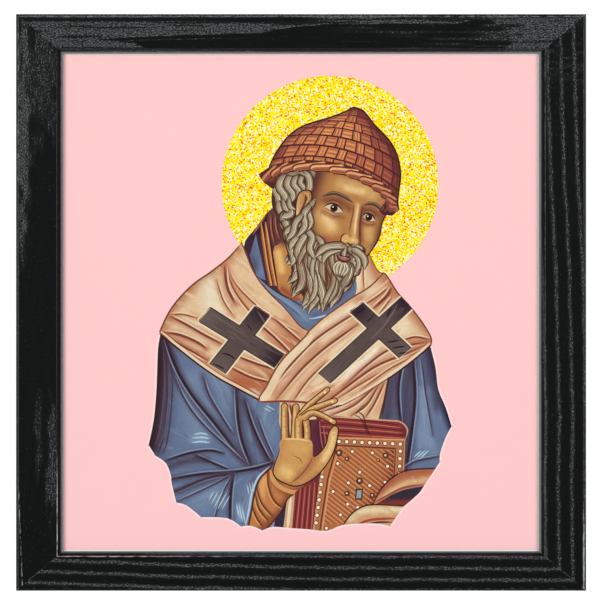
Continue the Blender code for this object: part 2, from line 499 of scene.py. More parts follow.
def arris_highlight(name, along, across, width):
    """How bright the painted highlight along the inner arris is, along each rail."""
    share = width / SIDE_WIDTH
    line = thin_line(across - (width - share * (STEP_WIDTH + ARRIS * 0.5)) / MM, 0.09)
    line = line * (0.75 + 0.4 * lumps(along, across * 0, 1.1, 1, 6))
    if name == "rail_left":
        return line * (0.06 + 0.84 * smooth_step(-42, -60, along))
    if name == "rail_bottom":
        return line * (0.22 + 0.5 * smooth_step(0, -60, along))
    if name == "rail_right":
        return line * 0.22
    return line * 0.06


def rim_highlight(name, along, across):
    """A painted highlight line where the outer round meets the face, strongest at the top and left."""
    line = thin_line(across - 0.75, 0.2)
    strength = {"rail_top": 0.19, "rail_left": 0.14, "rail_bottom": 0.06, "rail_right": 0.05}[name]
    if name == "rail_left":
        strength = strength * smooth_step(-40, 60, along)
    if name == "rail_right":
        strength = strength + 0.4 * smooth_step(-55, -75, along)
    return line * strength


def scratch(along, across):
    """A long thin scratch that runs slowly in from the outer edge."""
    drift = np.interp(along, (-85, -53), (1.95, 0.65))
    broken = 0.7 + 0.5 * lumps(along, across * 0, 0.8, 1, 7)
    return thin_line(across - drift, 0.11) * smooth_step(-48, -60, along) * 0.42 * broken


# %% [markdown]
# Now the rails themselves. The grid's rows follow the section and its columns follow the length.
# The grooves are cut up to 0.14 mm deep where the figure is rough, as the worn early wood lies
# lower than the late wood, and only ever inwards, so that the rail keeps its size.

# %% Model the rails
GRAIN_STEP = 0.225 * MM
GROOVE_DEPTH = 0.14 * MM
FACE_WAVE = 0.02 * MM
MITRE_TRIM = 0.02 * MM
WELD = 0.001 * MM
SMOOTH_ANGLE = radians(50)
FIGURES = {
    "rail_top": top_figure,
    "rail_bottom": bottom_figure,
    "rail_left": left_figure,
    "rail_right": right_figure,
}


def model_rail(name, turn, length, reach, width, other_width):
    """Rolls a grid into a mitred rail with its grain, and turns it into its place."""
    wall = reach - RABBET_HALF
    profile = section(width, wall)
    columns = round(length / GRAIN_STEP)
    deselect()
    bpy.ops.mesh.primitive_grid_add(
        x_subdivisions=columns, y_subdivisions=len(profile) - 1, size=1.0
    )
    rail = name_piece(f"{name}_wood")
    flat = get_points(rail.data)
    run = np.rint((flat[:, 0] + 0.5) * columns) / columns * 2 - 1
    row = np.rint((flat[:, 1] + 0.5) * (len(profile) - 1)).astype(int)
    across, behind = profile[row].T
    half = length / 2 - across * other_width / width - MITRE_TRIM
    along = run * half
    sign = 1 if turn in (0, 270) else -1
    figure = FIGURES[name](sign * along / MM, across / MM)
    front = behind < SHOULDER_DEPTH
    outside = (across < 0.5 * MM) & (behind > OUTER_ROUND)
    lip = smooth_step(-0.1, 0.5, (across - (width - width / SIDE_WIDTH * LIP_WIDTH)) / MM)
    figure = np.clip(figure, 0, 1) * (front | outside) * (1 - lip)
    place = across + behind
    grooves = lumps(along, place, 1.6 * MM, 0.3 * MM, 1) * 0.6
    grooves = grooves + lumps(along, place, 0.5 * MM, 0.22 * MM, 2) * 0.6
    cut = GROOVE_DEPTH * figure * smooth_step(-0.5, 0.7, grooves)
    wave = FACE_WAVE * (1 + lumps(along, place, 6 * MM, 1.5 * MM, 6)) / 2 * front
    behind = behind + np.where(front, cut + wave, 0)
    across = across + np.where(outside, cut, 0)
    uncut = profile[row][:, 0] / MM
    # Painted highlights along the inner arris and the outer round, then real wear at the scratch and the
    # mitres.
    wear_and_highlight = arris_highlight(name, sign * along / MM, uncut, width)
    wear_and_highlight = np.maximum(wear_and_highlight, rim_highlight(name, sign * along / MM, uncut))
    if name == "rail_left":
        wear_and_highlight = np.maximum(wear_and_highlight, scratch(along / MM, across / MM))
    mitre = thin_line((half - np.abs(along)) / MM, 0.1)
    mitre = mitre * (0.16 + 0.14 * lumps(across, across * 0, 1.5 * MM, 1, 9))
    if name == "rail_top":
        mitre = mitre * (along > 0)
    if name == "rail_left":
        mitre = mitre * (along < 0)
    wear_and_highlight = np.maximum(wear_and_highlight, mitre * front)
    set_points(rail.data, np.stack([along, FACE_Y + behind, reach - across], axis=1))
    store(rail.data, "figure", figure)
    store(rail.data, "wear_and_highlight", wear_and_highlight * front)
    # The lip's grey is painted light on its forward face, weaker on the bottom rail.
    store(rail.data, "lip", lip * front * (0.6 if name == "rail_bottom" else 0.9))
    store(rail.data, "grain_place", np.stack([along, place, across * 0], axis=1))
    edit(rail)
    bpy.ops.mesh.remove_doubles(threshold=WELD)
    bpy.ops.mesh.select_all(action="DESELECT")
    bpy.ops.mesh.select_non_manifold()
    bpy.ops.mesh.fill_holes(sides=0)
    bpy.ops.mesh.select_all(action="SELECT")
    bpy.ops.mesh.normals_make_consistent(inside=False)
    object_mode()
    rail.data.transform(Matrix.Translation((0, 0, CENTRE_Z)) @ Matrix.Rotation(radians(turn), 4, "Y"))
    bpy.ops.object.shade_smooth_by_angle(angle=SMOOTH_ANGLE)
    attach(rail, "root")
    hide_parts(name)
    print(name, len(rail.data.vertices), "vertices")
    return rail


level_sizes = (2 * FRAME_HALF_WIDTH, FRAME_HALF_HEIGHT, CROSS_WIDTH, SIDE_WIDTH)
upright_sizes = (2 * FRAME_HALF_HEIGHT, FRAME_HALF_WIDTH, SIDE_WIDTH, CROSS_WIDTH)
rails = [
    model_rail("rail_top", 0, *level_sizes),
    model_rail("rail_right", 90, *upright_sizes),
    model_rail("rail_bottom", 180, *level_sizes),
    model_rail("rail_left", 270, *upright_sizes),
]

# %% [markdown]
# The stain is one material for all four rails. It reads the figure, and the wear and painted
# highlights, kept on the mesh, and its specks, painted glints in the rough pores, run along the
# grain because they are laid out on the rail's own directions. Rough wood is matt and grey with
# those glints, smooth wood is nearly black with a satin shine. The lip's grey is painted light on
# its forward face.


# %% Black stain over open grain
SMOOTH_BLACK, ROUGH_BLACK = to_linear((4, 6, 6)), to_linear((15, 17, 17))
# The greys of the painted glints in the rough pores.
GLINT_DULL_GREY, GLINT_BRIGHT_GREY = to_linear((38, 41, 42)), to_linear((108, 111, 113))
# The greys of the painted light on the lip's forward face.
LIP_LIT_GREY, LIP_LIT_PALE = to_linear((88, 95, 95)), to_linear((138, 145, 143))
# Dust, and the near-white of bare wear and of painted edge highlights.
DUST, BARE_WEAR_AND_HIGHLIGHT = to_linear((105, 106, 104)), to_linear((222, 224, 222))


def black_wood():
    """The rails' finish."""
    finish = Finish("black_open_grain")
    place = finish.attribute("grain_place", "Vector")
    figure = finish.attribute("figure")
    wear_and_highlight = finish.attribute("wear_and_highlight")
    lip = finish.attribute("lip")
    fine = finish.noise(finish.scaled(place, (1700.0, 3600.0, 1.0)), 1.0, 3.0, 0.65)
    long = finish.noise(finish.scaled(place, (420.0, 2600.0, 1.0)), 1.0, 2.0, 0.6)
    # Grey specks in the rough pores are painted glints.
    glint_speck = (fine * 0.7 + long * 0.3 + figure * 0.26).above(0.69, 0.76)
    dust = finish.noise(finish.scaled(place, (1500.0, 2600.0, 1.0)), 1.0, 1.0, 0.5).above(0.7, 0.78)
    glint_grey = finish.mix(fine.above(0.4, 0.75), GLINT_DULL_GREY, GLINT_BRIGHT_GREY)
    black = finish.mix(figure, SMOOTH_BLACK, ROUGH_BLACK)
    colour = finish.mix(glint_speck, black, glint_grey)
    colour = finish.mix(dust * 0.35, colour, DUST)
    # The lip's grey, painted light on its forward face.
    edge = finish.mix(long, LIP_LIT_GREY, LIP_LIT_PALE)
    colour = finish.mix(lip, colour, edge)
    # Bare wear and the painted edge highlights are both mixed in as near-white.
    wear_and_highlight_share = (wear_and_highlight * 1.35 - long.above(0.3, 0.7) * 0.3).clamp()
    colour = finish.mix(wear_and_highlight_share, colour, BARE_WEAR_AND_HIGHLIGHT)
    finish.surface("Base Color", colour)
    finish.surface("Roughness", 0.3 + figure * 0.12 + glint_speck * 0.34 + wear_and_highlight_share * 0.1 + lip * 0.3)
    finish.bump(fine * glint_speck + figure * 0.2, 0.05 * MM, 0.6)
    finish.shader.inputs["Specular IOR Level"].default_value = 0.2
    return finish.material


wood = black_wood()
for rail in rails:
    rail.data.materials.append(wood)
print("one stain on", len(rails), "rails")

# %% [markdown]
# ## The tile
#
# The picture on the real tile is printed in flat inks and sealed under the glaze, so nothing in it
# is raised. A print is usually an image file on a plane. Here it is drawn instead, as a sheet of
# triangles: every outline and every brush stroke becomes edges of one flat mesh, and each triangle
# takes its colour from the strokes that cover it, in the order they were laid. Edges stay sharp
# at any distance, and soft washes come from blending the colours at the triangles' corners.

# %% Inks, curves and strokes
LIGHT_GAIN = 1.12


def ink(colour, glitter=0.0, brushed=1.0):
    """A screen colour as the light that the ink sends back, then its glitter and its brush grain."""
    return np.array([*(part / LIGHT_GAIN for part in to_linear(colour)), glitter, brushed])


def curve(points, steps=5, closed=False):
    """A smooth line through a few points."""
    points = np.asarray(points, dtype=float)
    if closed:
        ring = np.vstack([points[-1:], points, points[:2]])
    else:
        ring = np.vstack([2 * points[0] - points[1], points, 2 * points[-1] - points[-2]])
    share = (np.arange(steps) / steps)[:, None]
    line = []
    for before, start, end, after in zip(ring, ring[1:], ring[2:], ring[3:]):
        bend = 2 * start + (end - before) * share
        bend = bend + (2 * before - 5 * start + 4 * end - after) * share**2
        line.append((bend + (3 * start - before - 3 * end + after) * share**3) / 2)
    line = np.vstack(line)
    return line if closed else np.vstack([line, points[-1:]])


def beside(line, offset):
    """The same line moved sideways, to its left for a positive offset."""
    step = np.gradient(line, axis=0)
    length = np.maximum(np.hypot(step[:, 0], step[:, 1]), 1e-6)
    normal = np.stack([-step[:, 1], step[:, 0]], axis=1) / length[:, None]
    return line + normal * np.reshape(offset, (-1, 1))


def swell(count, start=0.15, end=0.15):
    """How full a brush stroke is along its length: a share at each end, and 1 between."""
    share = np.linspace(0, 1, count)
    return np.minimum(np.minimum(start + share * 4, end + (1 - share) * 4), 1)


def circle(middle, radius, count=10):
    """Points round a circle."""
    turns = np.linspace(0, 2 * pi, count, endpoint=False)
    return np.stack([middle[0] + radius * np.cos(turns), middle[1] + radius * np.sin(turns)], axis=1)


# %% [markdown]
# The painter only collects jobs at first. An area is a filled outline with a name, so that later
# strokes can be kept inside it, as a mask would. A glow is a soft wash that fades with distance.
# A short edge that a later opaque fill hides would only add triangles, so it is left out.


# %% The painter
LONGEST_HIDDEN_EDGE = 2.0


class Painter:
    """Collects outlines, strokes and washes in the order they are laid."""

    def __init__(self):
        self.jobs = []
        self.areas = {}

    def fill(self, outline, colour, strength=1.0, inside=None, kind="fill"):
        """An outline filled with a colour or an ink, clear or half clear."""
        shade = colour if len(colour) == 5 else ink(colour)
        self.jobs.append((kind, np.asarray(outline, dtype=float), shade, strength, inside, 0))

    def area(self, name, outline, colour, inside=None):
        """A filled outline that later strokes can be kept inside."""
        self.areas[name] = (np.asarray(outline, dtype=float), inside)
        self.fill(outline, colour, 1.0, inside, "area")

    def stroke(self, points, width, colour, strength=1.0, inside=None, ends=(0.15, 0.15), steps=4):
        """A tapered brush stroke through a few points."""
        line = curve(points, steps)
        half = width / 2 * swell(len(line), *ends)
        self.fill(np.vstack([beside(line, half), beside(line, -half)[::-1]]), colour, strength, inside)

    def glow(self, points, reach, colour, strength=1.0, inside=None):
        """A soft wash round a line or a point."""
        line = curve(points, 3) if len(points) > 1 else np.asarray(points, dtype=float)
        self.jobs.append(("glow", line, ink(colour), strength, inside, reach))

    def washes(self, inside, rows):
        """Glows in one area: rows of points, reach, colour and strength."""
        for row in rows:
            self.glow(*row, inside)

    def strokes(self, inside, rows):
        """Strokes in one area: rows of points, width, colour and strength, then ends and steps."""
        for points, width, colour, strength, *more in rows:
            self.stroke(points, width, colour, strength, inside, *more)

    def edges(self):
        """The outlines' edges that show, as points and as pairs of their numbers."""
        fills = [job for job in self.jobs if job[0] != "glow"]
        sizes = np.array([len(job[1]) for job in fills])
        points = np.vstack([job[1] for job in fills])
        order = np.repeat(np.arange(len(fills)), sizes)
        first = np.repeat(np.cumsum(sizes) - sizes, sizes)
        after = first + (np.arange(len(points)) - first + 1) % np.repeat(sizes, sizes)
        middles = (points + points[after]) / 2
        loose = np.repeat([job[0] == "fill" for job in fills], sizes)
        shown = np.ones(len(points), dtype=bool)
        loose &= np.hypot(*(points[after] - points).T) < LONGEST_HIDDEN_EDGE
        for number, (_, outline, _, strength, inside, _) in enumerate(fills):
            if strength < 1:
                continue
            near = ((middles > outline.min(0)) & (middles < outline.max(0))).all(1)
            near = np.flatnonzero(near & shown & loose & (order < number))
            for places in (middles, points, points[after]):
                near = near[holds(outline, places[near])]
                near = near[within(inside, places[near])] if inside else near
            shown[near] = False
        shown = np.flatnonzero(shown)
        used = np.unique([shown, after[shown]])
        numbers = np.searchsorted(used, [shown, after[shown]])
        return points[used], numbers.T.tolist()


art = Painter()


def holds(outline, places):
    """Which places lie inside an outline."""
    inside = np.zeros(len(places), dtype=bool)
    low, high = outline.min(0), outline.max(0)
    near = np.flatnonzero(((places >= low) & (places <= high)).all(1))
    x, y = places[near].T
    odd = np.zeros(len(near), dtype=bool)
    for (x1, y1), (x2, y2) in zip(outline, np.roll(outline, -1, axis=0)):
        if y1 != y2:
            odd ^= ((y1 > y) != (y2 > y)) & (x < (x2 - x1) * (y - y1) / (y2 - y1) + x1)
    inside[near] = odd
    return inside


def within(name, places):
    """Which places lie inside a named area, and inside the areas that hold it."""
    outline, holder = art.areas[name]
    inside = holds(outline, places)
    return inside & within(holder, places) if holder else inside


def brushwork(name, flow, tones, count, length, width, strength=0.3, seed=1):
    """Short soft strokes that follow a garment's folds, in a few of its own tones."""
    chance = np.random.default_rng(seed)
    outline = art.areas[name][0]
    spots = chance.uniform(outline.min(0), outline.max(0), (count * 3, 2))
    for spot in spots[within(name, spots)][:count]:
        run = np.array(flow(*spot), dtype=float)
        run = run / hypot(*run) * length * chance.uniform(0.5, 1.2) / 2
        bend = np.array((-run[1], run[0])) * chance.uniform(-0.12, 0.12)
        tone = tones[chance.integers(len(tones))]
        wide = width * chance.uniform(0.6, 1.3)
        art.stroke([spot - run, spot + bend, spot + run], wide, tone, strength, name, steps=2)


# %% [markdown]
# The ground is one flat pink, which stops just short of the opening at the right, the top and the
# bottom, so a hairline of white glaze shows there. The halo is a disc of printed gold glitter.

# %% Ground, halo and the torn edge
PINK = (255, 204, 204)
PRINT_LEFT, PRINT_RIGHT, PRINT_TOP = -73, 71.1, 74.4
HALO_CENTRE, HALO_RADIUS = (8.7, 35.5), 32.6
LINE = (62, 26, 24)
ROBE, ROBE_LIGHT, ROBE_PALE = (98, 114, 144), (130, 150, 174), (180, 204, 222)
ROBE_SHADE, ROBE_DARK = (80, 72, 94), (62, 38, 50)

TORN_EDGE = [
    (-42.2, -9.2), (-43, -14.2), (-43.4, -25.3), (-44.2, -35), (-45.8, -42.8), (-45.8, -42.8),
    (-43.8, -46), (-43.8, -46), (-40.6, -48.3), (-39.1, -52), (-38.9, -54.2), (-37.5, -60.1),
    (-37.5, -60.1), (-34.4, -61), (-30, -64.5), (-30, -64.5), (-22.2, -64.8), (-18.1, -67.3),
    (-18.1, -67.3), (-15, -67.1), (-11.6, -68.5), (-11.6, -68.5), (-8.5, -67.4), (-3.2, -67.8),
    (1.8, -68.1), (7.8, -68.6), (12.7, -66.8), (22.1, -66.4), (26.7, -67.2), (26.7, -67.2),
    (30.6, -61.5), (30.6, -61.5), (35.1, -57.6), (36.8, -55.3), (41.6, -48), (41.6, -48),
    (41.8, -45.2), (43.4, -40.6), (45.2, -37.2), (45.2, -37.2), (43.4, -31.5), (41.2, -26.1),
    (40.4, -19.7), (38.9, -13.4),
]
SHOULDERS = [(30, -4), (0, -8), (-30, 0)]

corners = [(x, z) for x, z in ((PRINT_LEFT, -1), (PRINT_RIGHT, -1), (PRINT_RIGHT, 1), (PRINT_LEFT, 1))]
art.area("ground", [(x, z * PRINT_TOP) for x, z in corners], ink(PINK, brushed=0))
art.area("halo", circle(HALO_CENTRE, HALO_RADIUS, 120), ink((251, 230, 44), glitter=1, brushed=0))
art.stroke(TORN_EDGE, 1, ink((255, 228, 228), brushed=0), 0.8, ends=(1, 1), steps=3)
art.area("robe", np.vstack([curve(TORN_EDGE, 3), SHOULDERS]), ROBE)
print("outlines so far", len(art.jobs))

# %% [markdown]
# Drapery in an icon follows a rule. Each fold is a soft shadow, with a dark line in its depth and
# a pale ridge on the lit side. One function lays all three, so a garment is a list of fold lines.


# %% The robe's folds
def fold(points, reach, shades, inside, side=1, width=0.5, strength=0.8):
    """A fold: a soft shadow, a dark line in its depth and a pale ridge beside it."""
    shadow, depth, ridge = shades
    art.glow(points, reach, shadow, strength, inside)
    art.stroke(points, width, depth, 0.9, inside)
    line = beside(curve(points), side * (width * 0.5 + 0.35))
    art.stroke(line, 0.42, ridge, 0.75, inside, steps=1)


def folds(inside, rows, wider=1, strength=0.8):
    """A garment's folds: rows of points, reach, shades, side and width."""
    for points, reach, shades, side, width in rows:
        fold(points, reach * wider, shades, inside, side, width, strength)


def hatch(start, end, step, count, width=0.45):
    """A few short parallel strokes of light on the robe, shorter towards both ends."""
    for k in range(count):
        shift = np.array(step) * k
        first, last = np.array(start) + shift, np.array(end) + shift
        shrink = (last - first) * 0.1 * abs(k - count / 2)
        art.stroke([first + shrink, last - shrink], width, ROBE_PALE, 0.8, "robe", steps=3)


robe_fold = (ROBE_SHADE, ROBE_DARK, ROBE_LIGHT)
deep_fold = (ROBE_DARK, (44, 22, 34), ROBE_LIGHT)

art.washes("robe", (
    ([(-33, -24), (-31, -38)], 7, ROBE_LIGHT, 0.45),
    ([(-26, -20), (-22, -30)], 5, ROBE_LIGHT, 0.4),
    ([(-30, -60), (-26, -57)], 6, ROBE_LIGHT, 0.45),
    ([(-11, -33), (-9, -40)], 4, ROBE_LIGHT, 0.3),
    ([(-15, -56), (-16, -64)], 3, ROBE_LIGHT, 0.6),
))
brushwork("robe", lambda x, z: (-13 - x, -50 - z) if x < 15 else (34 - x, 30 - z),
          (ROBE_LIGHT, ROBE_SHADE, ROBE_LIGHT, (110, 116, 140), (96, 88, 112)), 190, 8, 0.9, 0.32, 3)
art.washes("robe", (
    ([(-42.6, -9), (-42.8, -24), (-43.8, -36), (-45.2, -43)], 7.6, (60, 38, 50), 1),
    ([(-42.4, -10), (-43.4, -24), (-45.6, -43)], 3.2, (46, 24, 30), 1),
    ([(-15.4, -33), (-13, -41), (-10.4, -47)], 2.8, (82, 70, 94), 0.8),
    ([(-36.6, -23), (-30, -33), (-22.4, -42)], 1.7, (86, 78, 104), 0.8),
    ([(-41, -12), (-39, -18.6), (-36.2, -24.6)], 2.4, (64, 46, 60), 0.8),
))
for drift in (0, 1.5):
    line = [(-41.4 + drift, -13), (-41 + drift, -25), (-42.4 + drift, -38), (-44 + drift, -43)]
    art.stroke(line, 0.5, (104, 84, 100), 0.55, "robe")
    art.stroke([(x + 0.8, z - 3) for x, z in line], 0.45, (58, 32, 40), 0.7, "robe")
folds("robe", (
    ([(-40.6, -11), (-37.6, -19.5), (-33, -27.5), (-25.8, -36.5), (-17.4, -47.2)], 2.4, deep_fold, -1, 0.7),
    ([(-38.4, -22), (-34.5, -30), (-29.5, -36.6), (-22, -43.6), (-16.6, -48.6)], 1.3, robe_fold, 1, 0.4),
    ([(-29.6, -22), (-27.6, -28), (-22.6, -36.4), (-20.6, -39.4)], 1.7, robe_fold, 1, 0.45),
    ([(-19.4, -25.5), (-18.9, -35), (-17.6, -42), (-15, -48.6)], 2.8, deep_fold, -1, 0.7),
    ([(-17, -29.5), (-14.6, -37), (-11.6, -43.6), (-9.2, -48)], 1.9, deep_fold, 1, 0.5),
    ([(-13.2, -34.6), (-10.8, -41), (-8.4, -46.4)], 1.1, robe_fold, 1, 0.4),
    ([(-40.6, -47.6), (-34, -45.4), (-27.4, -44.5), (-23.4, -45.4)], 1.2, deep_fold, 1, 0.6),
    ([(-31.6, -46), (-26.6, -48.2), (-21, -50.6)], 1.2, deep_fold, 1, 0.5),
    ([(-8.6, -48.4), (-14, -49.9), (-21, -51), (-30, -51.6), (-39.4, -53.2)], 1.9, deep_fold, -1, 0.7),
    ([(-20.6, -51.4), (-28.4, -52.8), (-38.4, -57)], 1.6, robe_fold, 1, 0.6),
    ([(-21, -52), (-27.6, -55.4), (-37, -59.8)], 0.9, robe_fold, -1, 0.3),
    ([(-20.4, -51.6), (-21.2, -58), (-21.4, -66)], 1.6, deep_fold, 1, 0.8),
    ([(-20.8, -52.4), (-23.8, -58), (-26.2, -66)], 1, robe_fold, -1, 0.3),
))
art.washes("robe", (
    ([(38.4, -12.6), (40.2, -21), (42.6, -29.6), (45.2, -37.4)], 2.6, (38, 26, 46), 1),
    ([(37.6, -14), (38.8, -22), (41, -31)], 3.4, (64, 52, 76), 0.7),
    ([(-32.6, -41), (-28.6, -41)], 2.2, (146, 172, 192), 0.4),
    ([(-26.4, -58), (-24, -60.4)], 2.4, (140, 160, 184), 0.3),
    ([(-18.6, -61), (-18.2, -65)], 1.6, (150, 176, 196), 0.6),
))
for drop, reach in ((-39.6, 2.4), (-40.8, 3.6), (-42.1, 3.8)):
    art.stroke([(-31 - reach / 2, drop), (-30, drop + 0.3), (-29.2 + reach / 2, drop - 0.1)],
        0.5, ROBE_PALE, 0.8, "robe")
hatch((-25.4, -55.2), (-28.6, -61), (1.1, -0.5), 5, 0.38)
hatch((-19.6, -59.6), (-18.4, -65.4), (0.9, -0.8), 3)
hatch((-16.4, -54), (-15.4, -58.6), (0.8, 0.2), 3, 0.34)
hatch((-31.4, -15.6), (-27.4, -17.6), (0.5, 0.9), 2, 0.5)
hatch((-11.6, -31.4), (-8.8, -33), (0.9, 0.6), 2, 0.4)

art.washes("robe", (
    ([(-40, -49.6), (-33.6, -47.4), (-28.4, -47.4)], 2.2, ROBE_DARK, 0.75),
    ([(-22.4, -52.2), (-30, -54.4), (-38, -57)], 1.8, ROBE_DARK, 0.6),
    ([(36.6, -27), (37.4, -42)], 3.6, ROBE_LIGHT, 0.7),
    ([(27.6, -22), (26, -34)], 4.6, (70, 54, 76), 0.85),
    ([(32.6, -18), (31.4, -30), (31, -42), (30.8, -50)], 3.4, (66, 50, 70), 0.85),
    ([(38.6, -40), (40, -46)], 2.6, ROBE_LIGHT, 0.5),
))
folds("robe", (
    ([(27.2, -19), (25.6, -27), (24.2, -35)], 2.4, robe_fold, -1, 0.5),
    ([(30.6, -17), (29.2, -26), (29.8, -36)], 1.5, deep_fold, 1, 0.6),
    ([(33.4, -16), (34.2, -28), (33, -40), (31.4, -51)], 2.2, deep_fold, 1, 0.8),
    ([(36.2, -17), (37.4, -27), (39.6, -40)], 1, robe_fold, -1, 0.3),
    ([(31.2, -49.6), (35, -47.6), (42, -46.2)], 1.1, robe_fold, 1, 0.4),
))
hatch((33.4, -47), (36.6, -44), (1, -0.1), 3, 0.5)
print("robe strokes", len(art.jobs))

# %% [markdown]
# Under the beard lie the under-robe's collar, two gold bands and the neck. They are simple flat
# shapes, each darker towards the cloth that covers it.

# %% The collar
GOLD, GOLD_LIGHT, GOLD_SHADE = (190, 122, 70), (222, 164, 98), (128, 66, 46)
SKIN, SKIN_LIGHT, SKIN_PALE = (180, 124, 72), (214, 168, 104), (238, 204, 146)
SKIN_SHADE, SKIN_DARK = (126, 70, 50), (86, 38, 42)
CREAM, CREAM_LIGHT, SALMON = (224, 190, 150), (236, 216, 182), (204, 140, 100)
CREAM_LINE = (124, 62, 46)

art.area("collar", curve([(-9.2, 27.9), (-6.4, 27), (2, 17), (6, 4), (3, -4.6), (-7, -2),
                          (-13.4, 6), (-17.2, 16.6), (-13.4, 22.6)], 4, True), (66, 40, 58))
art.glow([(-9, 26.5), (-14, 19.5), (-16.6, 16.8)], 2.2, (48, 24, 40), 0.9, "collar")
art.fill([(-13.6, 20.6), (-12.2, 14), (-10.6, 6.6), (-13.2, 7.6), (-15.4, 14)], ROBE, 1, "collar")
art.washes("collar", (
    ([(-13.2, 15.5), (-11.8, 8.4)], 1.2, (126, 132, 164), 0.5),
    ([(-15, 16.5), (-13.4, 10)], 1.3, ROBE_DARK, 0.7),
))
art.fill(curve([(-6.6, 18.6), (-8.4, 15), (-7.6, 9.5), (-6.8, 4), (-2, 0), (4, 0), (4, 12), (-1, 18)],
               3, True), (190, 130, 72), 1, "collar")
art.washes("collar", (
    ([(-6.8, 14.8), (-5.8, 9.6)], 1.9, (228, 184, 112), 1),
    ([(-5.6, 4), (-3, 2), (-1, 0.6)], 2, (150, 76, 50), 0.95),
    ([(-7.4, 19.4), (-4.4, 18)], 2.4, (84, 40, 48), 0.95),
))
art.fill(curve([(-9.8, 27.8), (-6, 26.6), (-5, 21), (-6.6, 17.6), (-8.8, 17.2), (-10, 22)], 4, True),
         (100, 54, 52), 1, "collar")
for points in ([(-9.2, 26.4), (-9, 22), (-8.2, 18)], [(-7.8, 26.4), (-7.6, 22.8), (-6.6, 19)],
               [(-10.6, 26.2), (-12.4, 23.4), (-14.6, 20.2)]):
    art.stroke(points, 0.4, (168, 108, 88), 0.85, "collar")
    art.stroke([(x + 0.5, z) for x, z in points], 0.35, LINE, 0.9, "collar")
for shift, width in ((0, 0.85), (1.35, 0.95)):
    band = [(-12.1 + shift, 24.2), (-11.2 + shift, 17.5), (-10.1 + shift, 10.4), (-9 + shift, 5)]
    art.stroke(band, width + 0.6, (84, 38, 34), 1, "collar", (0.3, 1))
    art.stroke(band, width, GOLD, 1, "collar", (0.2, 1))
    art.stroke(beside(curve(band), width * 0.22), width * 0.3, GOLD_LIGHT, 0.9, "collar", (0.1, 0.9), 1)
    art.stroke(beside(curve(band), -width * 0.3), width * 0.25, GOLD_SHADE, 0.9, "collar", (0.1, 0.9), 1)
art.stroke([(-9.8, 24), (-9, 17), (-7.9, 10), (-7, 4.4)], 0.5, LINE, 0.9, "collar")

neck_cloth = curve([(15.4, 9.8), (17.4, 15.6), (18.8, 18.9), (19.8, 15.6), (22.6, 9.8), (24.8, 8.4),
                    (20.8, 4.4), (15.2, 1.2)], 4, True)
art.area("neck_cloth", neck_cloth, CREAM)
art.washes("neck_cloth", (
    ([(18.8, 19), (21, 13), (23, 8)], 3, (188, 112, 84), 0.9),
    ([(15.4, 6), (16.4, 11)], 1, SALMON, 0.9),
    ([(17.6, 11), (17, 5)], 1.4, CREAM_LIGHT, 0.8),
))
for points in ([(18.6, 17.6), (18.6, 10), (18.8, 4)], [(17.6, 14), (16.4, 8), (16, 2)]):
    fold(points, 0.9, (SALMON, CREAM_LINE, CREAM_LIGHT), "neck_cloth", 1, 0.35)
art.stroke([(18.6, 19), (20, 15.4), (22.8, 9.8), (24.8, 8.5)], 0.4, LINE, 0.9)

under_robe = curve([(-14, 8.4), (-8.6, 3.8), (-3.2, 0.8), (2.2, 0.8), (7.4, 3.2), (12.2, 5.2),
                    (14.8, 8.4), (16.6, 6.2), (15.8, 1.4), (9.6, -3.4), (2, -8.8), (-4.6, -2)], 4, True)
art.area("under_robe", under_robe, ROBE)
art.washes("under_robe", (
    ([(-12, 6.6), (-4, 0.2), (2, -5)], 1.4, ROBE_LIGHT, 0.6),
    ([(4, -4.2), (12, 1.4), (15, 4.6)], 1.2, ROBE_SHADE, 0.6),
))
art.stroke([(2.4, -5), (5.6, -4.4), (8.4, -3.6)], 0.45, ROBE_PALE, 0.9, "under_robe")
art.stroke([(-13.6, 8.2), (-8.4, 3.9), (-3, 0.9), (2.4, -2.6)], 0.45, ROBE_DARK, 0.9)
art.strokes("under_robe", (
    ([(-12.4, 6), (-7.4, 2), (-1.6, -2), (2, -6)], 0.35, ROBE_LIGHT, 0.8),
    ([(-9, 2.6), (-4.4, -0.8), (0.2, -4.4)], 0.35, ROBE_SHADE, 0.8),
))
print("collar done at", len(art.jobs))

# %% [markdown]
# The head leans a little, so it gets its own directions: across the face, and up it. The face is
# a calm one on a draughtsman's proportions. The eyes lie halfway up the head, the nose ends
# halfway from the brows to the chin, and the mouth is a third of the way below it.

# %% Hair behind the head, and the face
HEAD_MIDDLE = (11.8, 27.7)
HEAD_TILT = radians(15)
HAIR, HAIR_LIGHT, HAIR_PALE = (150, 130, 102), (194, 182, 150), (230, 222, 194)
HAIR_SHADE, HAIR_DARK, BEARD_SHADE = (112, 84, 64), (70, 42, 38), (92, 60, 46)


def head(*places):
    """Places on the head, across and up from its middle, as places on the tile."""
    x, z = np.array(places, dtype=float).T
    across = x * cos(HEAD_TILT) + z * sin(HEAD_TILT)
    up = z * cos(HEAD_TILT) - x * sin(HEAD_TILT)
    return np.stack([HEAD_MIDDLE[0] + across, HEAD_MIDDLE[1] + up], axis=1)


STRAND_TONES = (HAIR, HAIR_PALE, HAIR_LIGHT, HAIR_LIGHT, HAIR)


def lock(points, width, inside=None):
    """A lock of grey hair: a dark bed, a brown-grey body, and strands that follow its bend."""
    art.stroke(points, width * 1.3, HAIR_DARK, 1, inside, (0.5, 0.15))
    art.stroke(points, width, HAIR_SHADE, 1, inside, (0.45, 0.08))
    line = curve(points, 4)
    full = swell(len(line), 0.45, 0.08)
    for tone, place in zip(STRAND_TONES, np.linspace(0.38, -0.36, len(STRAND_TONES))):
        strand = beside(line, place * width * full)
        art.stroke(strand, width * 0.13, tone, 0.95, inside, (0.1, 0.1), 1)


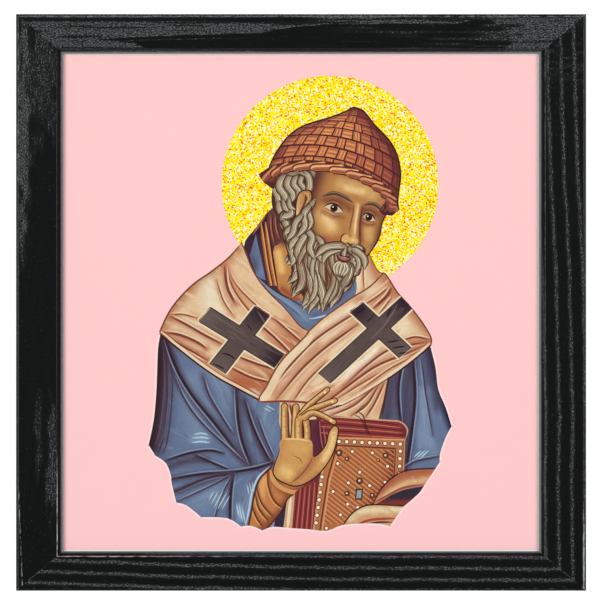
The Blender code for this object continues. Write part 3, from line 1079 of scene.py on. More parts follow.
art.area("hair", curve([(-8.2, 36), (-8.9, 31), (-8.2, 27.6), (-5.6, 24.6), (-2, 20), (3, 19), (6, 27),
                        (6, 34), (4, 40.6), (-6, 40.6)], 4, True), HAIR_DARK)
for points, width in (
    ([(-6.4, 38.6), (-8, 34.8), (-6.8, 31), (-7.6, 27.8)], 2),
    ([(-4.6, 39), (-6.6, 35), (-4.6, 31.4), (-6, 27.2)], 2.2),
    ([(-2.8, 38.8), (-4.2, 35.4), (-2.4, 32.4), (-3.6, 29.4)], 2),
    ([(-1.2, 38.4), (-2.2, 35.6), (-0.6, 33.4), (-1.4, 31)], 1.8),
    ([(0.6, 38.6), (-0.2, 36), (1.2, 33.8), (0.4, 31.8)], 1.6),
    ([(-7, 30.6), (-6.2, 27.2), (-3.4, 25), (-0.8, 25.6)], 1.9),
    ([(-5.6, 31), (-4.6, 28), (-3, 26.6), (-1.6, 27.4)], 1.5),
    ([(-3.6, 31.6), (-3.4, 29), (-1.8, 27.6), (-0.6, 28.4)], 1.4),
    ([(0, 40.2), (3.2, 37.6), (2.8, 33.6), (4.8, 29.4)], 2),
    ([(1.6, 40.2), (4.6, 37.6), (4, 33.6), (5.2, 30.4)], 1.5),
    ([(-1.8, 39.8), (1.8, 38.4), (2.6, 35), (1.4, 31.8)], 2),
    ([(-5.6, 39.4), (-2.6, 38.6), (-0.6, 39.2), (1.4, 38)], 1.3),
):
    lock(points, width, "hair")
art.washes("hair", (
    ([(-5, 39.6), (3, 40.4)], 2.4, HAIR_DARK, 0.8),
    ([(4.6, 38), (5.6, 30)], 1.6, HAIR_DARK, 0.7),
))

face = curve(head((-9.4, 12), (-9.6, 3), (-8.6, -7), (-5, -15), (2, -20), (9, -15), (12.2, -8.5),
    (13.2, -4.2), (12.9, -0.6), (13.5, 3.2), (14, 9), (11, 13), (0, 15)), 4, True)
art.fill(curve(head((-9.4, 12), (-9.6, 3), (-8.6, -7), (-5, -15), (2, -20), (9.2, -15.2), (12.6, -8.7),
                    (13.6, -4.2), (13.3, -0.6), (13.9, 3.2), (14.4, 9), (11, 13), (0, 15)), 4, True), LINE)
art.area("face", face, SKIN)
art.washes("face", (
    (head((-9.5, 9), (-9.8, 0), (-8, -9)), 4.6, SKIN_DARK, 0.95),
    (head((-7, 12), (2, 13), (13, 9)), 3.6, SKIN_SHADE, 0.95),
    (head((-2, 7.4), (3, 7.8), (8, 7)), 3.2, SKIN_LIGHT, 0.85),
    (head((0, 6.8), (5, 7)), 1.6, SKIN_PALE, 0.7),
    (head((14.2, 8), (13.4, 0), (13.2, -8)), 2.4, SKIN_DARK, 0.8),
    (head((-4.5, -3.2), (-1.4, -6.2)), 4.4, SKIN_LIGHT, 0.95),
    (head((-3.4, -3.4), (-1.4, -5)), 2.4, SKIN_PALE, 0.7),
    (head((-3.2, -9.6), (1.2, -9.2)), 2.8, (170, 84, 56), 0.7),
    (head((9.6, -3.4), (10.4, -5.6)), 2.4, SKIN_LIGHT, 0.8),
    (head((-5.4, 1.8), (-1.4, 2.8), (2.4, 1.2)), 2.2, SKIN_SHADE, 0.85),
    (head((6.6, 1.4), (9, 2.6), (11.6, 1.4)), 2, SKIN_SHADE, 0.85),
    (head((-5.2, -1.8), (-2, -2.6), (1.4, -1.8)), 1.1, SKIN_SHADE, 0.6),
    (head((6.6, -2), (9, -2.4), (11, -1.4)), 1, SKIN_SHADE, 0.6),
))

# %% [markdown]
# The features are short strokes: lids, brows and the wing of the nose in brown, whites and lights
# laid last. The bridge of the nose is lit on the near side and shaded on the far side.


# %% Eyes, nose and mouth
def eye(middle, width, height):
    """An almond eye that looks straight out, with its lids."""
    x, z = middle
    upper = [(x - width / 2, z - 0.3), (x - width * 0.2, z + height), (x + width * 0.2, z + height * 0.85),
             (x + width / 2, z - 0.35)]
    lower = [(x + width / 2, z - 0.35), (x + width * 0.1, z - height * 0.95), (x - width / 2, z - 0.3)]
    almond = np.vstack([curve(head(*upper), 4)[:-1], curve(head(*lower), 4)[:-1]])
    name = f"eye_{x:.0f}"
    art.area(name, almond, (214, 190, 158))
    pupil = head((x, z + 0.1))[0]
    art.fill(circle(pupil, height * 0.92, 14), (58, 30, 22), 1, name)
    art.fill(circle(pupil, height * 0.5, 10), (16, 10, 10), 1, name)
    art.fill(circle(pupil + (-0.3, 0.35), 0.24, 6), (240, 228, 206), 1, name)
    art.stroke(head(*upper), 0.5, LINE)
    art.stroke(head(*lower), 0.26, SKIN_DARK, 0.9)
    crease = [(a, b + 1.05) for a, b in upper]
    art.stroke(head(*crease), 0.3, SKIN_DARK, 0.8)
    bag = [(a, b - 1) for a, b in lower]
    art.stroke(head(*bag), 0.26, SKIN_SHADE, 0.8)


eye((-2, 0), 6.2, 1.25)
eye((8.8, 0), 4.6, 1.15)
for points in ([(-6.4, 2.6), (-3.4, 4.4), (-0.2, 4.3), (3, 3.2)], [(6.2, 3.2), (8.6, 4.4), (11, 3.9),
    (12.4, 2.6)]):
    art.stroke(head(*points), 1.15, SKIN_DARK, 0.9)
    art.stroke(head(*points), 0.7, (74, 60, 50), 1)
    art.stroke(head(*((a, b + 0.25) for a, b in points)), 0.25, HAIR, 0.8)

art.washes("face", (
    (head((6.4, 2.4), (6.9, -3), (8.2, -7.4)), 1.5, SKIN_SHADE, 0.9),
    (head((4.6, 3), (5.2, -2), (6, -6.6)), 1.2, SKIN_LIGHT, 1),
))
art.stroke(head((4.9, 3), (5.3, -2), (6.1, -6.2)), 0.6, SKIN_PALE, 0.9)
art.stroke(head((3.2, 3), (3.9, 0.6), (4, -2.4), (4.3, -5.6)), 0.4, SKIN_SHADE, 0.9)
art.stroke(head((6.2, 2.9), (6.6, -1.6), (7.5, -5.4), (8.1, -7.4)), 0.42, SKIN_DARK, 0.9)
art.fill(curve(head((6.3, -6.6), (7.5, -7.4), (7.4, -8.7), (6, -9.2), (4.8, -8.6), (4.8, -7.2)), 3, True),
    SKIN_LIGHT)
art.fill(curve(head((3, -6.9), (4.4, -6.8), (4.7, -8.6), (3.4, -9.2), (2.5, -8.4)), 3, True), SKIN_LIGHT)
art.stroke(head((3.3, -6.2), (2.4, -7.4), (2.6, -9), (3.8, -9.3)), 0.4, SKIN_DARK)
art.stroke(head((3.9, -9.1), (5, -9), (6, -9.7), (7.2, -9.2), (8.2, -8.7), (8.3, -7.4)), 0.45, LINE)
art.fill(circle(head((6, -7.7))[0], 0.5, 8), SKIN_PALE, 0.8)

art.fill(curve(head((-11.9, 3.2), (-10.1, 3.4), (-9, 1.4), (-9.4, -1.6), (-9.8, -5), (-10.4, -8.6),
    (-11.6, -9.2), (-12.6, -5.6), (-13.7, -0.6), (-13.4, 2)), 3, True), LINE)
art.area("ear", curve(head((-11.9, 2.8), (-10.3, 3), (-9.4, 1.2), (-9.8, -1.8), (-10.2, -5), (-10.8, -8),
                           (-11.5, -8.6), (-12.3, -5.4), (-13.3, -0.6), (-13, 1.8)), 3, True), SKIN)
art.glow(head((-12.8, 1), (-12.6, -3), (-11.6, -7)), 0.9, SKIN_PALE, 0.9, "ear")
art.strokes("ear", (
    (head((-11.4, 1.6), (-10.6, 0.2), (-11, -3), (-11.6, -5.2)), 1.1, SKIN_DARK, 0.9),
    (head((-12.2, 2), (-10.8, 2.2), (-10.2, 0.4), (-10.7, -1.6)), 0.4, SKIN_LIGHT, 0.9),
))

# %% [markdown]
# The beard is a fan of locks. Each one starts on the cheek line and ends on the beard's lower
# edge, and a sine wave gives it the S of a wavy beard. The outer locks go down first, so the
# middle ones lie over them.

# %% Beard and moustache
BEARD_TOP = curve([(-3.4, 28), (-0.6, 24.4), (1.8, 21.4), (5, 19), (9, 17.6), (13.4, 16.6), (17, 17.8)], 6)
BEARD_END = curve([(-5.4, 23), (-5, 15.5), (-4, 9.5), (-2.4, 4.2), (0.6, -0.8), (4.6, -2.7), (9.6, -1.8),
                   (13.6, 2), (16, 8), (17.4, 14.6)], 6)
art.glow(BEARD_TOP[:24:4], 2.2, (108, 62, 48), 0.8, "face")
beard_middle = (6, 12)
beard_bed = beard_middle + (BEARD_END - beard_middle) * 0.87
art.area("beard", np.vstack([beard_bed, BEARD_TOP[::-1]]), HAIR_DARK)


def along_line(line, share):
    """The place at a share of the way along a line."""
    place = share * (len(line) - 1)
    first = min(int(place), len(line) - 2)
    return line[first] + (line[first + 1] - line[first]) * (place - first)


def beard_lock(share, start, end, width, wave):
    """One wavy lock from the cheek line to the beard's edge."""
    root, tip = along_line(BEARD_TOP, share), along_line(BEARD_END, share)
    run = tip - root
    aside = np.array((-run[1], run[0])) / hypot(*run)
    steps = np.linspace(start, end, 8)
    bends = np.sin(steps * 2 * pi * 1.1 + wave) * 1.5 * (0.4 + 0.8 * steps)
    lock([root + run * step + aside * bend for step, bend in zip(steps, bends)], width)


BEARD_ROWS = (
    (0.58, 1.02, 18, 2), (0.38, 1.04, 12, 2.5), (0.2, 0.88, 10, 2.3), (0.44, 1, 7, 1.9), (0, 0.58, 14, 1.8),
)
wander = np.random.default_rng(4)
for start, end, count, width in BEARD_ROWS:
    shares = np.linspace(0.02, 0.97, count) + wander.uniform(-0.025, 0.025, count)
    for share in sorted(np.clip(shares, 0, 1), key=lambda place: -abs(place - 0.5)):
        shorter, wave = wander.uniform(-0.07, 0.03), 0.6 + share * 3.2 + wander.uniform(-0.5, 0.9)
        beard_lock(share, start + shorter, end + shorter, width * wander.uniform(0.75, 1.2),
            wave + start * 2)
art.washes("beard", (
    ([(17, 16), (15.6, 8), (12, 1.6)], 4.6, BEARD_SHADE, 0.6),
    ([(12, 0.6), (6, -1.6), (1, 0.4)], 2.4, BEARD_SHADE, 0.5),
    ([(-4.6, 17), (-3.6, 8)], 1.6, BEARD_SHADE, 0.5),
    ([(7.4, 13.4), (8.6, 6)], 4.2, (110, 62, 38), 0.5),
    ([(0, 14), (1.4, 5)], 2.8, (112, 66, 42), 0.42),
))
for points, width in (
    ([(1, 22.4), (3.4, 19.6), (2.6, 16.2), (4.4, 12.6)], 2),
    ([(4.6, 20), (6.4, 17.4), (5.4, 14.4), (6.8, 11.4)], 1.8),
    ([(4.2, 31), (2.2, 27.6), (3, 24), (0.8, 20.6)], 1.7),
    ([(3, 29.4), (0.8, 26.4), (1.2, 23), (-1.4, 19.4)], 1.9),
    ([(0.6, 26.6), (-1.6, 24), (-2.4, 21), (-4.4, 18.6)], 1.8),
):
    lock(points, width)

art.fill(circle(head((4.8, -16.8))[0], 2.75, 18), HAIR_DARK, 0.85)
for place in (-1.7, -0.9, 0, 0.9, 1.7):
    tuft = [(4.8 + place * 0.35, -14.6), (4.8 + place * 1.25, -16.6), (4.8 + place * 0.7, -19)]
    art.stroke(head(*tuft), 0.95, HAIR, 0.95, steps=3)
    art.stroke(head(*((a - 0.2, b) for a, b in tuft)), 0.35, HAIR_PALE, 0.85, steps=3)
art.stroke(head((2.2, -13.2), (4.6, -14.3), (7, -13.3)), 1.5, SKIN_DARK)
art.stroke(head((2.8, -13.3), (4.6, -13.9), (6.4, -13.4)), 0.8, (172, 104, 82))
art.stroke(head((2.2, -12.8), (4.6, -13.1), (7, -12.8)), 0.3, LINE)
for side_points, width in (
    ([(4, -10.9), (1.8, -12), (-0.6, -14.2), (-1, -17)], 1.7),
    ([(6.6, -11.2), (8.4, -12.2), (9.6, -14.4), (9.4, -17)], 1.5),
    ([(4.4, -10.2), (1.6, -10.6), (-1.6, -12.2), (-3.8, -15.8)], 2.1),
    ([(6.2, -10.3), (8.6, -10.8), (10.8, -12.4), (11.6, -15.4)], 1.9),
):
    lock(head(*side_points), width)
print("head done at", len(art.jobs))

# %% [markdown]
# The cap is basketwork, over a rope brim. Its blocks lie on a grid that runs from the brim to the
# tip and bends with both sides, and every second block turns its straws upright.

# %% The basketwork cap
CAP, CAP_LIGHT, CAP_SHADE = (206, 126, 76), (232, 164, 104), (150, 72, 56)
CAP_DARK, CAP_LINE = (82, 32, 40), (84, 38, 32)
CAP_LEFT = curve([(-10, 39.6), (-8.4, 43.4), (-5.6, 47.8), (-2.6, 51), (1.6, 53.4), (8.2, 55.4), (13, 57.2),
                  (15.4, 58.5)], 6)
CAP_RIGHT = curve([(29, 29), (29.4, 34), (29.9, 38.6), (28.8, 44.4), (26.2, 49), (22, 53.4), (19, 57.2),
                   (16.4, 58.5)], 6)
BRIM = curve([(-11.8, 37.6), (-8, 39.5), (-4.6, 40.6), (0.4, 41.2), (6.7, 40.9), (12.6, 39.9), (17.3, 38.2),
              (21.5, 36), (24.8, 33.8), (26.9, 31.4), (27.8, 28.9), (27.4, 27.3)], 6)
BRIM_HALF = 1.35

cap_outline = np.vstack([CAP_LEFT, CAP_RIGHT[::-1], [(28.9, 27.4), (27.4, 26), (24.6, 26.3), (23.4, 27.4)],
                         BRIM[-16:4:-1] - (0, 1.4), [(-8.2, 37.2), (-8.4, 34), (-11.2, 36), (-12.6, 38.2)]])
art.area("cap", cap_outline, CAP_DARK)


def cap_place(across, up):
    """A place on the cap, from its left side to its right and from its brim to its tip."""
    left, right = along_line(CAP_LEFT, up), along_line(CAP_RIGHT, up)
    rise = 5.6 * (1 - up) ** 1.2 * 4 * across * (1 - across)
    return left + (right - left) * across + (0.26 * rise, 0.97 * rise)


def shade_mix(first, second, share):
    """A colour part of the way from one to another."""
    share = min(max(share, 0), 1)
    return tuple(a + (b - a) * share for a, b in zip(first, second))


CAP_ROWS, BLOCK_WIDTH = 8, 3.2
straw_tones = np.random.default_rng(11).uniform(-0.16, 0.16, (CAP_ROWS, 20))


def block_edge(first, last, low, high):
    """The corners of one block of the weave, with a small gap all round."""
    gap = 0.24 / hypot(*(cap_place(last, low) - cap_place(first, low)))
    first, last = first + (last - first) * gap, last - (last - first) * gap
    low, high = low + (high - low) * 0.08, high - (high - low) * 0.08
    middle = (first + last) / 2
    rims = ((first, low), (middle, low), (last, low), (last, high), (middle, high), (first, high))
    return np.array([cap_place(*rim) for rim in rims])


for row in range(CAP_ROWS):
    low, high = row / CAP_ROWS, (row + 1) / CAP_ROWS
    wide = hypot(*(cap_place(1, (low + high) / 2) - cap_place(0, (low + high) / 2)))
    columns = max(2, round(wide * 1.08 / BLOCK_WIDTH))
    upright = (np.arange(columns) + row) % 2 == 1
    widths = np.where(upright, 0.84, 1.16)
    ends = np.append(0, np.cumsum(widths)) / widths.sum()
    for column, (first, last) in enumerate(zip(ends, ends[1:])):
        middle = (first + last) / 2
        dark = 1.7 * abs(middle - 0.4) ** 1.4 + 0.8 * max(0, row / CAP_ROWS - 0.5) + straw_tones[row, column]
        tone = shade_mix(CAP, CAP_SHADE, dark * 1.5)
        light = shade_mix(CAP_LIGHT, CAP_SHADE, dark * 1.3)
        deep = shade_mix(CAP_SHADE, CAP_DARK, dark)
        block = block_edge(first, last, low, high)
        art.fill(block, tone, 1, "cap")
        for k, share in enumerate((0.14, 0.38, 0.62, 0.84)):
            if upright[column]:
                straw = [block[0] + (block[2] - block[0]) * share, block[5] + (block[3] - block[5]) * share]
            else:
                sides = ((5, 0), (4, 1), (3, 2))
                straw = [block[top] + (block[foot] - block[top]) * share for top, foot in sides]
            art.stroke(straw, 0.4 if k % 2 else 0.26, light if k % 2 else deep, 0.8, "cap", (0.3, 0.3), 2)
art.washes("cap", (
    ([(29.6, 30), (30.4, 38), (28.4, 46), (24, 52)], 5, CAP_DARK, 0.85),
    ([(24, 52), (19, 57), (15.6, 58)], 3, (96, 36, 44), 0.75),
    ([(-9, 41), (-5, 48), (2, 53), (14, 57.6)], 1.6, CAP_DARK, 0.55),
    ([(28.4, 27.6), (25, 27.4)], 3, (70, 28, 40), 0.9),
))

art.fill(curve([(-12.6, 38.3), (-10.6, 35.8), (-8.3, 34), (-7.6, 36.6), (-6.8, 39.6), (-9.6, 40)],
    4, True), CAP_LINE)
art.glow([(-11, 37.4), (-9, 37.4)], 1.6, CAP_SHADE, 0.9)
art.stroke(BRIM, 2 * BRIM_HALF + 0.5, CAP_LINE, ends=(0.8, 0.7), steps=1)
ROPE_STRANDS = 12
for strand in range(ROPE_STRANDS):
    share = (strand - 0.2) / ROPE_STRANDS
    start, end = along_line(BRIM, max(share, 0)), along_line(BRIM, min(share + 0.14, 1))
    run = (end - start) / hypot(*(end - start))
    aside = np.array((-run[1], run[0]))
    twist = [start - aside * BRIM_HALF, start + run * 1.1 - aside * 0.55, end - run * 1.1 + aside * 0.55,
             end + aside * BRIM_HALF * 0.9]
    dark = abs(share - 0.35) * 1.2
    art.stroke(twist, 2.6, CAP_LINE, ends=(0.3, 0.3))
    art.stroke(twist, 1.8, shade_mix((196, 116, 74), CAP_SHADE, dark), ends=(0.15, 0.15))
    for offset, width, tone, deep, strength in (
        (0.4, 0.62, (240, 182, 130), CAP_SHADE, 0.95),
        (0, 0.24, (148, 78, 56), CAP_DARK, 0.8),
        (-0.5, 0.4, (132, 62, 50), CAP_DARK, 0.9),
    ):
        straw = beside(curve(twist, 4), offset)
        art.stroke(straw, width, shade_mix(tone, deep, dark), strength, steps=1)
for points in ([(25.4, 30.6), (26, 28.6), (24.8, 27)], [(24.4, 29.6), (24.6, 28.2), (23.8, 27.4)]):
    art.stroke(points, 0.7, (120, 60, 52), 0.9)
art.stroke(np.vstack([CAP_LEFT[::3], CAP_RIGHT[::-3]]), 0.45, (52, 22, 22), ends=(0.6, 0.6), steps=2)
print("cap done at", len(art.jobs))

# %% [markdown]
# The stole is one long band. It crosses the shoulders, falls to a point in front, and its right
# half lies over its left. Each half carries a dark cross, cut off by the band's edges as real
# applied cloth would be.

# %% The stole's left half
LEFT_STOLE = [(-18.6, 17), (-22.1, 13.1), (-27.3, 9), (-32.2, 5.6), (-36.7, 1.1), (-39.8, -3.2),
    (-42.5, -8.9)]
LEFT_HEM = [(-42.5, -9.3), (-32.9, -17.1), (-25.1, -22.6), (-19.1, -25.9), (-11.4, -30)]
LEFT_NECK = [(2.2, -8.6), (-0.6, -6.8), (-4.9, -1.7), (-10.5, 3.9), (-14.3, 9.3), (-16.9, 15.6),
    (-18, 18.2)]
cream_fold = ((200, 138, 98), CREAM_LINE, CREAM_LIGHT)
salmon_fold = ((182, 110, 78), (110, 46, 38), CREAM_LIGHT)

left_stole = np.vstack([curve(LEFT_STOLE, 4), curve(LEFT_HEM, 4), [(0, -30), (6, -18)],
    curve(LEFT_NECK, 4)])
art.area("left_stole", left_stole, CREAM)
art.washes("left_stole", (
    ([(-19, 17), (-27.6, 9.6), (-37, 1.4), (-42, -7)], 4.2, (178, 112, 66), 0.95),
    ([(-27, 4), (-26, -2)], 6, (232, 218, 190), 0.9),
    ([(-36, -12), (-30, -16.6), (-24, -20)], 2.8, (186, 120, 82), 0.8),
    ([(-36, -4), (-30, -11)], 3, CREAM_LIGHT, 0.7),
    ([(-19, -24), (-10, -24), (-5, -18), (-3, -12)], 9, (174, 98, 60), 1),
    ([(-14, -16), (-8, -10), (-4, -5)], 2.6, SALMON, 0.7),
    ([(-15, 13), (-10, 5), (-4, -2)], 1.8, CREAM_LIGHT, 0.8),
))
brushwork("left_stole", lambda x, z: (0.8, -0.62) if x > -26 else (0.9, -0.35),
          (CREAM_LIGHT, (214, 168, 124), (228, 196, 156), (200, 140, 102)), 110, 7, 0.9, 0.3, 7)
folds("left_stole", (
    ([(-22.6, 12), (-20.4, 6.6), (-16.4, 1.8), (-9, -4.6), (-0.4, -9.4)], 1.2, cream_fold, 1, 0.42),
    ([(-22.8, 11.4), (-20.4, 4.4), (-16, -2), (-9, -9.6), (-3.4, -14)], 1.3, cream_fold, -1, 0.5),
    ([(-23, 11), (-22.2, 4.6), (-19.8, -0.4)], 1.4, salmon_fold, 1, 0.75),
    ([(-25.4, 6.6), (-23.4, 0.6), (-20.4, -4)], 1.1, cream_fold, 1, 0.35),
    ([(-39.6, -3.8), (-35.6, -3.6), (-31, -4.8)], 0.9, cream_fold, 1, 0.4),
    ([(-39.4, -4.2), (-35, -6.4), (-29, -9.8), (-23, -13)], 1.4, salmon_fold, 1, 0.6),
    ([(-41.6, -9), (-36.4, -9.8), (-31.2, -12), (-28.4, -14)], 1.3, salmon_fold, 1, 0.7),
    ([(-41, -10), (-34.6, -13.6), (-28, -17.4)], 1.2, salmon_fold, -1, 0.5),
    ([(-19.8, -16), (-13, -18.6), (-6.8, -20.4)], 1.2, salmon_fold, 1, 0.6),
    ([(-21.6, -19.4), (-15, -22.6), (-9, -24.2)], 1.4, salmon_fold, 1, 0.6),
    ([(-12.6, -6.6), (-8, -10.6), (-2, -16.6)], 1.3, salmon_fold, 1, 0.6),
    ([(-8, -5), (-3.4, -9), (0.6, -12.4)], 1, salmon_fold, 1, 0.5),
), 1.45, 0.9)
art.strokes("left_stole", (
    (beside(curve(LEFT_HEM), 1.3), 0.3, CREAM_LINE, 0.6, (0.5, 0.5), 1),
    (beside(curve(LEFT_HEM), 0.7), 0.7, CREAM_LIGHT, 0.85, (0.5, 0.5), 1),
))
art.stroke(curve(LEFT_STOLE), 0.5, CREAM_LINE, ends=(0.5, 0.8), steps=1)
art.stroke(curve(LEFT_HEM), 0.5, LINE, ends=(0.8, 0.8), steps=1)
art.stroke(curve(LEFT_NECK), 0.42, CREAM_LINE, ends=(0.6, 0.6), steps=1)

# %% The crosses
CROSS, CROSS_LIGHT, CROSS_DARK = (88, 72, 70), (112, 96, 92), (44, 28, 42)
CROSS_CRACK = (30, 18, 22)


def cross(name, bars, dark_ends, stole):
    """Two bars that meet. A pale line and a black one go round both before either is filled."""
    for width, shade in ((1.7, CREAM_LIGHT), (0.75, (34, 18, 20))):
        for bar in bars:
            art.stroke([*bar, bar[0], bar[1]], width, shade, 0.95, stole, (1, 1), 1)
    for kind, bar, dark_end in zip(("long", "short"), bars, dark_ends):
        art.area(f"{name}_{kind}", bar, CROSS, stole)
        art.glow([dark_end], 9, CROSS_DARK, 1, f"{name}_{kind}")
        lit_end = 2 * np.mean(bar, axis=0) - dark_end
        art.glow([lit_end], 7, CROSS_LIGHT, 0.5, f"{name}_{kind}")
    brushwork(f"{name}_long", lambda x, z: bars[0][3 if name == "left_cross" else 2] - np.array(bars[0][0]),
              (CROSS_LIGHT, (54, 42, 44)), 26, 5, 0.5, 0.35, 5)


cross("left_cross", ([(-27.3, -1.65), (-30.5, -5.6), (-7.9, -19.4), (-5.1, -15.8)],
                     [(-13.7, -1.3), (-9.6, -3.9), (-22.9, -21.2), (-27.3, -18.6)]),
      np.array([(-6.6, -17.6), (-11.8, -2.6)]), "left_stole")
art.strokes("left_cross_short", (
    ([(-13.4, -2.2), (-11.2, -5.6), (-10.6, -8)], 0.4, CROSS_LIGHT, 0.9),
    ([(-16.4, -6.4), (-14.6, -8.6)], 0.35, CROSS_CRACK, 0.9),
    ([(-24, -15.2), (-21.6, -15.8), (-19.6, -17.2)], 0.5, CROSS_CRACK, 0.9),
    ([(-26.4, -18.4), (-23, -20)], 0.6, CROSS_DARK, 0.9),
))
art.stroke([(-27.6, -3), (-22, -6.6), (-15, -11)], 0.4, CROSS_LIGHT, 0.6, "left_cross_long")

# %% [markdown]
# The right half comes over the left, so it is laid next. Its folds run along the band and gather
# at the arm.

# %% The stole's right half
RIGHT_EDGE = [(2.4, -8.9), (-0.2, -11.7), (-4.9, -16.4), (-7.9, -20.5), (-10.5, -25.4), (-12.4, -28.2),
    (-12.6, -29.9)]
RIGHT_NECK = [(24.7, 8.7), (20.6, 4.7), (15.4, 1.5), (11.7, -1.1), (6.1, -5.2), (1.6, -9.4)]
RIGHT_ARM = [(23.9, 8.7), (25.5, 8.3), (28.9, 3), (32.6, -1.1), (36.3, -5.9), (38.9, -10.3), (39.1, -12.6)]
RIGHT_HEM = [(39.1, -12.7), (36.3, -15.3), (31.1, -19.4), (25.9, -23.1), (19.1, -27.4), (13.6, -30.6),
    (10.4, -31.2)]

right_stole = np.vstack([curve(RIGHT_NECK, 4)[::-1], curve(RIGHT_ARM, 4), curve(RIGHT_HEM, 4),
                         [(4, -30.4), (-6, -29.8)], curve(RIGHT_EDGE, 4)[::-1]])
art.area("right_stole", right_stole, CREAM)
art.washes("right_stole", (
    ([(-6, -24), (2, -14), (12, -5), (21, 2)], 3.2, (240, 224, 194), 0.95),
    ([(25, 7.5), (30.6, 1.2), (38, -8)], 3.6, (180, 112, 76), 0.95),
    ([(27, -3), (31, -8)], 3.6, CREAM_LIGHT, 0.8),
    ([(14, -22), (22, -15)], 3.6, (242, 228, 206), 0.9),
    ([(2, -27), (12, -28), (22, -23)], 3.6, SALMON, 0.8),
    ([(17, 1), (23, 1), (27, 3)], 3.2, (190, 118, 84), 0.8),
    ([(-8, -27), (-2, -20), (5, -13)], 2.4, (198, 134, 94), 0.6),
    ([(30, -13), (37, -12)], 2.4, (196, 116, 78), 0.8),
))
brushwork("right_stole", lambda x, z: (0.74, 0.66) if z > -16 else (0.86, 0.5),
          (CREAM_LIGHT, (214, 168, 124), (238, 222, 184), (202, 146, 106)), 130, 7, 0.9, 0.35, 9)
folds("right_stole", (
    ([(-9.6, -26.4), (-3, -18.6), (4, -11.4), (12, -5.8), (17.4, -2.6)], 1.5, salmon_fold, -1, 0.55),
    ([(-7.4, -29), (-0.4, -20.6), (6, -14.6), (11.6, -10.4), (17.2, -6.4)], 1.6, salmon_fold, -1, 0.6),
    ([(-2.4, -29.6), (2, -23.4), (7.6, -17.8)], 1.4, cream_fold, -1, 0.5),
    ([(18.6, -1), (23, 1.8), (26.6, 4.8)], 1.2, cream_fold, 1, 0.5),
    ([(21.6, -2), (25.6, 1.8), (27.2, 4.4)], 1.3, salmon_fold, 1, 0.8),
    ([(23.4, -3.6), (27.4, 1.6)], 0.8, cream_fold, 1, 0.4),
    ([(38.6, -11.2), (34.4, -10.4), (30.4, -11.4)], 1, salmon_fold, -1, 0.45),
    ([(38.4, -11.8), (33.6, -12.6), (26, -14.4), (18.6, -19.8), (12.6, -25.4)], 1.2, salmon_fold, 1, 0.55),
    ([(38.2, -12.4), (31, -15.6), (22, -19.4), (12, -26.6), (8, -29.6)], 1.5, salmon_fold, 1, 0.6),
    ([(37, -13.8), (29, -18.2), (19, -23.8), (11, -28.8)], 1, cream_fold, 1, 0.45),
    ([(33, -16.6), (26, -20.4), (18, -26.2)], 0.9, cream_fold, -1, 0.4),
    ([(9.6, -25), (6, -27.6), (4.4, -30)], 1, cream_fold, 1, 0.4),
), 1.35, 0.85)
art.strokes("right_stole", (
    (beside(curve(RIGHT_EDGE), 1.4), 2.2, (234, 212, 176), 0.8, (0.5, 0.5), 1),
    (beside(curve(RIGHT_HEM), -0.7), 0.7, CREAM_LIGHT, 0.8, (0.5, 0.5), 1),
))
for border in (RIGHT_EDGE, RIGHT_NECK, RIGHT_ARM):
    art.stroke(curve(border), 0.45, CREAM_LINE, ends=(0.7, 0.7), steps=1)
art.stroke(curve(RIGHT_HEM), 0.5, LINE, ends=(0.7, 0.7), steps=1)
art.stroke([(-12.4, -29.9), (-4, -29.7), (4, -30.2)], 0.6, (140, 52, 44), ends=(0.7, 0.5))

cross("right_cross", ([(30.4, 1.6), (33.1, -1.7), (8.6, -24.1), (5.3, -21.5)],
                      [(14.9, -2.8), (18.4, -0.2), (32.9, -13.8), (29.6, -16.5)]),
      np.array([(31.4, 0.4), (16.4, -1.4)]), "right_stole")
art.strokes("right_cross_short", (
    ([(16.2, -3.6), (19.4, -1.6)], 0.5, CROSS_CRACK, 0.9),
    ([(19.6, -6), (22, -3.6)], 0.4, CROSS_CRACK, 0.9),
))
art.strokes("right_cross_long", (
    ([(29, -0.4), (25.4, -6.4), (20.6, -11.4)], 0.5, CROSS_LIGHT, 0.9),
    ([(27.4, -0.6), (25.6, -4.6)], 0.7, CROSS_DARK, 0.9),
))
for shift in (0, 1.9, 3.8):
    start, end = (25.6 + shift * 0.9, -12 - shift * 0.9), (29.6 + shift * 0.9, -11.4 - shift * 0.9)
    art.stroke([start, end], 0.5, CROSS_CRACK, 0.9, "right_cross_short")
print("stole done at", len(art.jobs))

# %% [markdown]
# Below the stole come the cloth behind the hand, the cuff, the book and the drape over it. All of
# them are kept inside the torn edge of the picture.

# %% Cloth, cuff and book
PAGES, PAGES_LIGHT, PAGES_DARK = (132, 50, 48), (194, 110, 92), (74, 20, 32)
COVER, COVER_LIGHT, COVER_SHADE = (180, 112, 74), (220, 156, 104), (122, 60, 44)
COVER_LINE, DRAPE_DARK = (84, 34, 28), (52, 40, 52)
PEARL = (252, 236, 206)

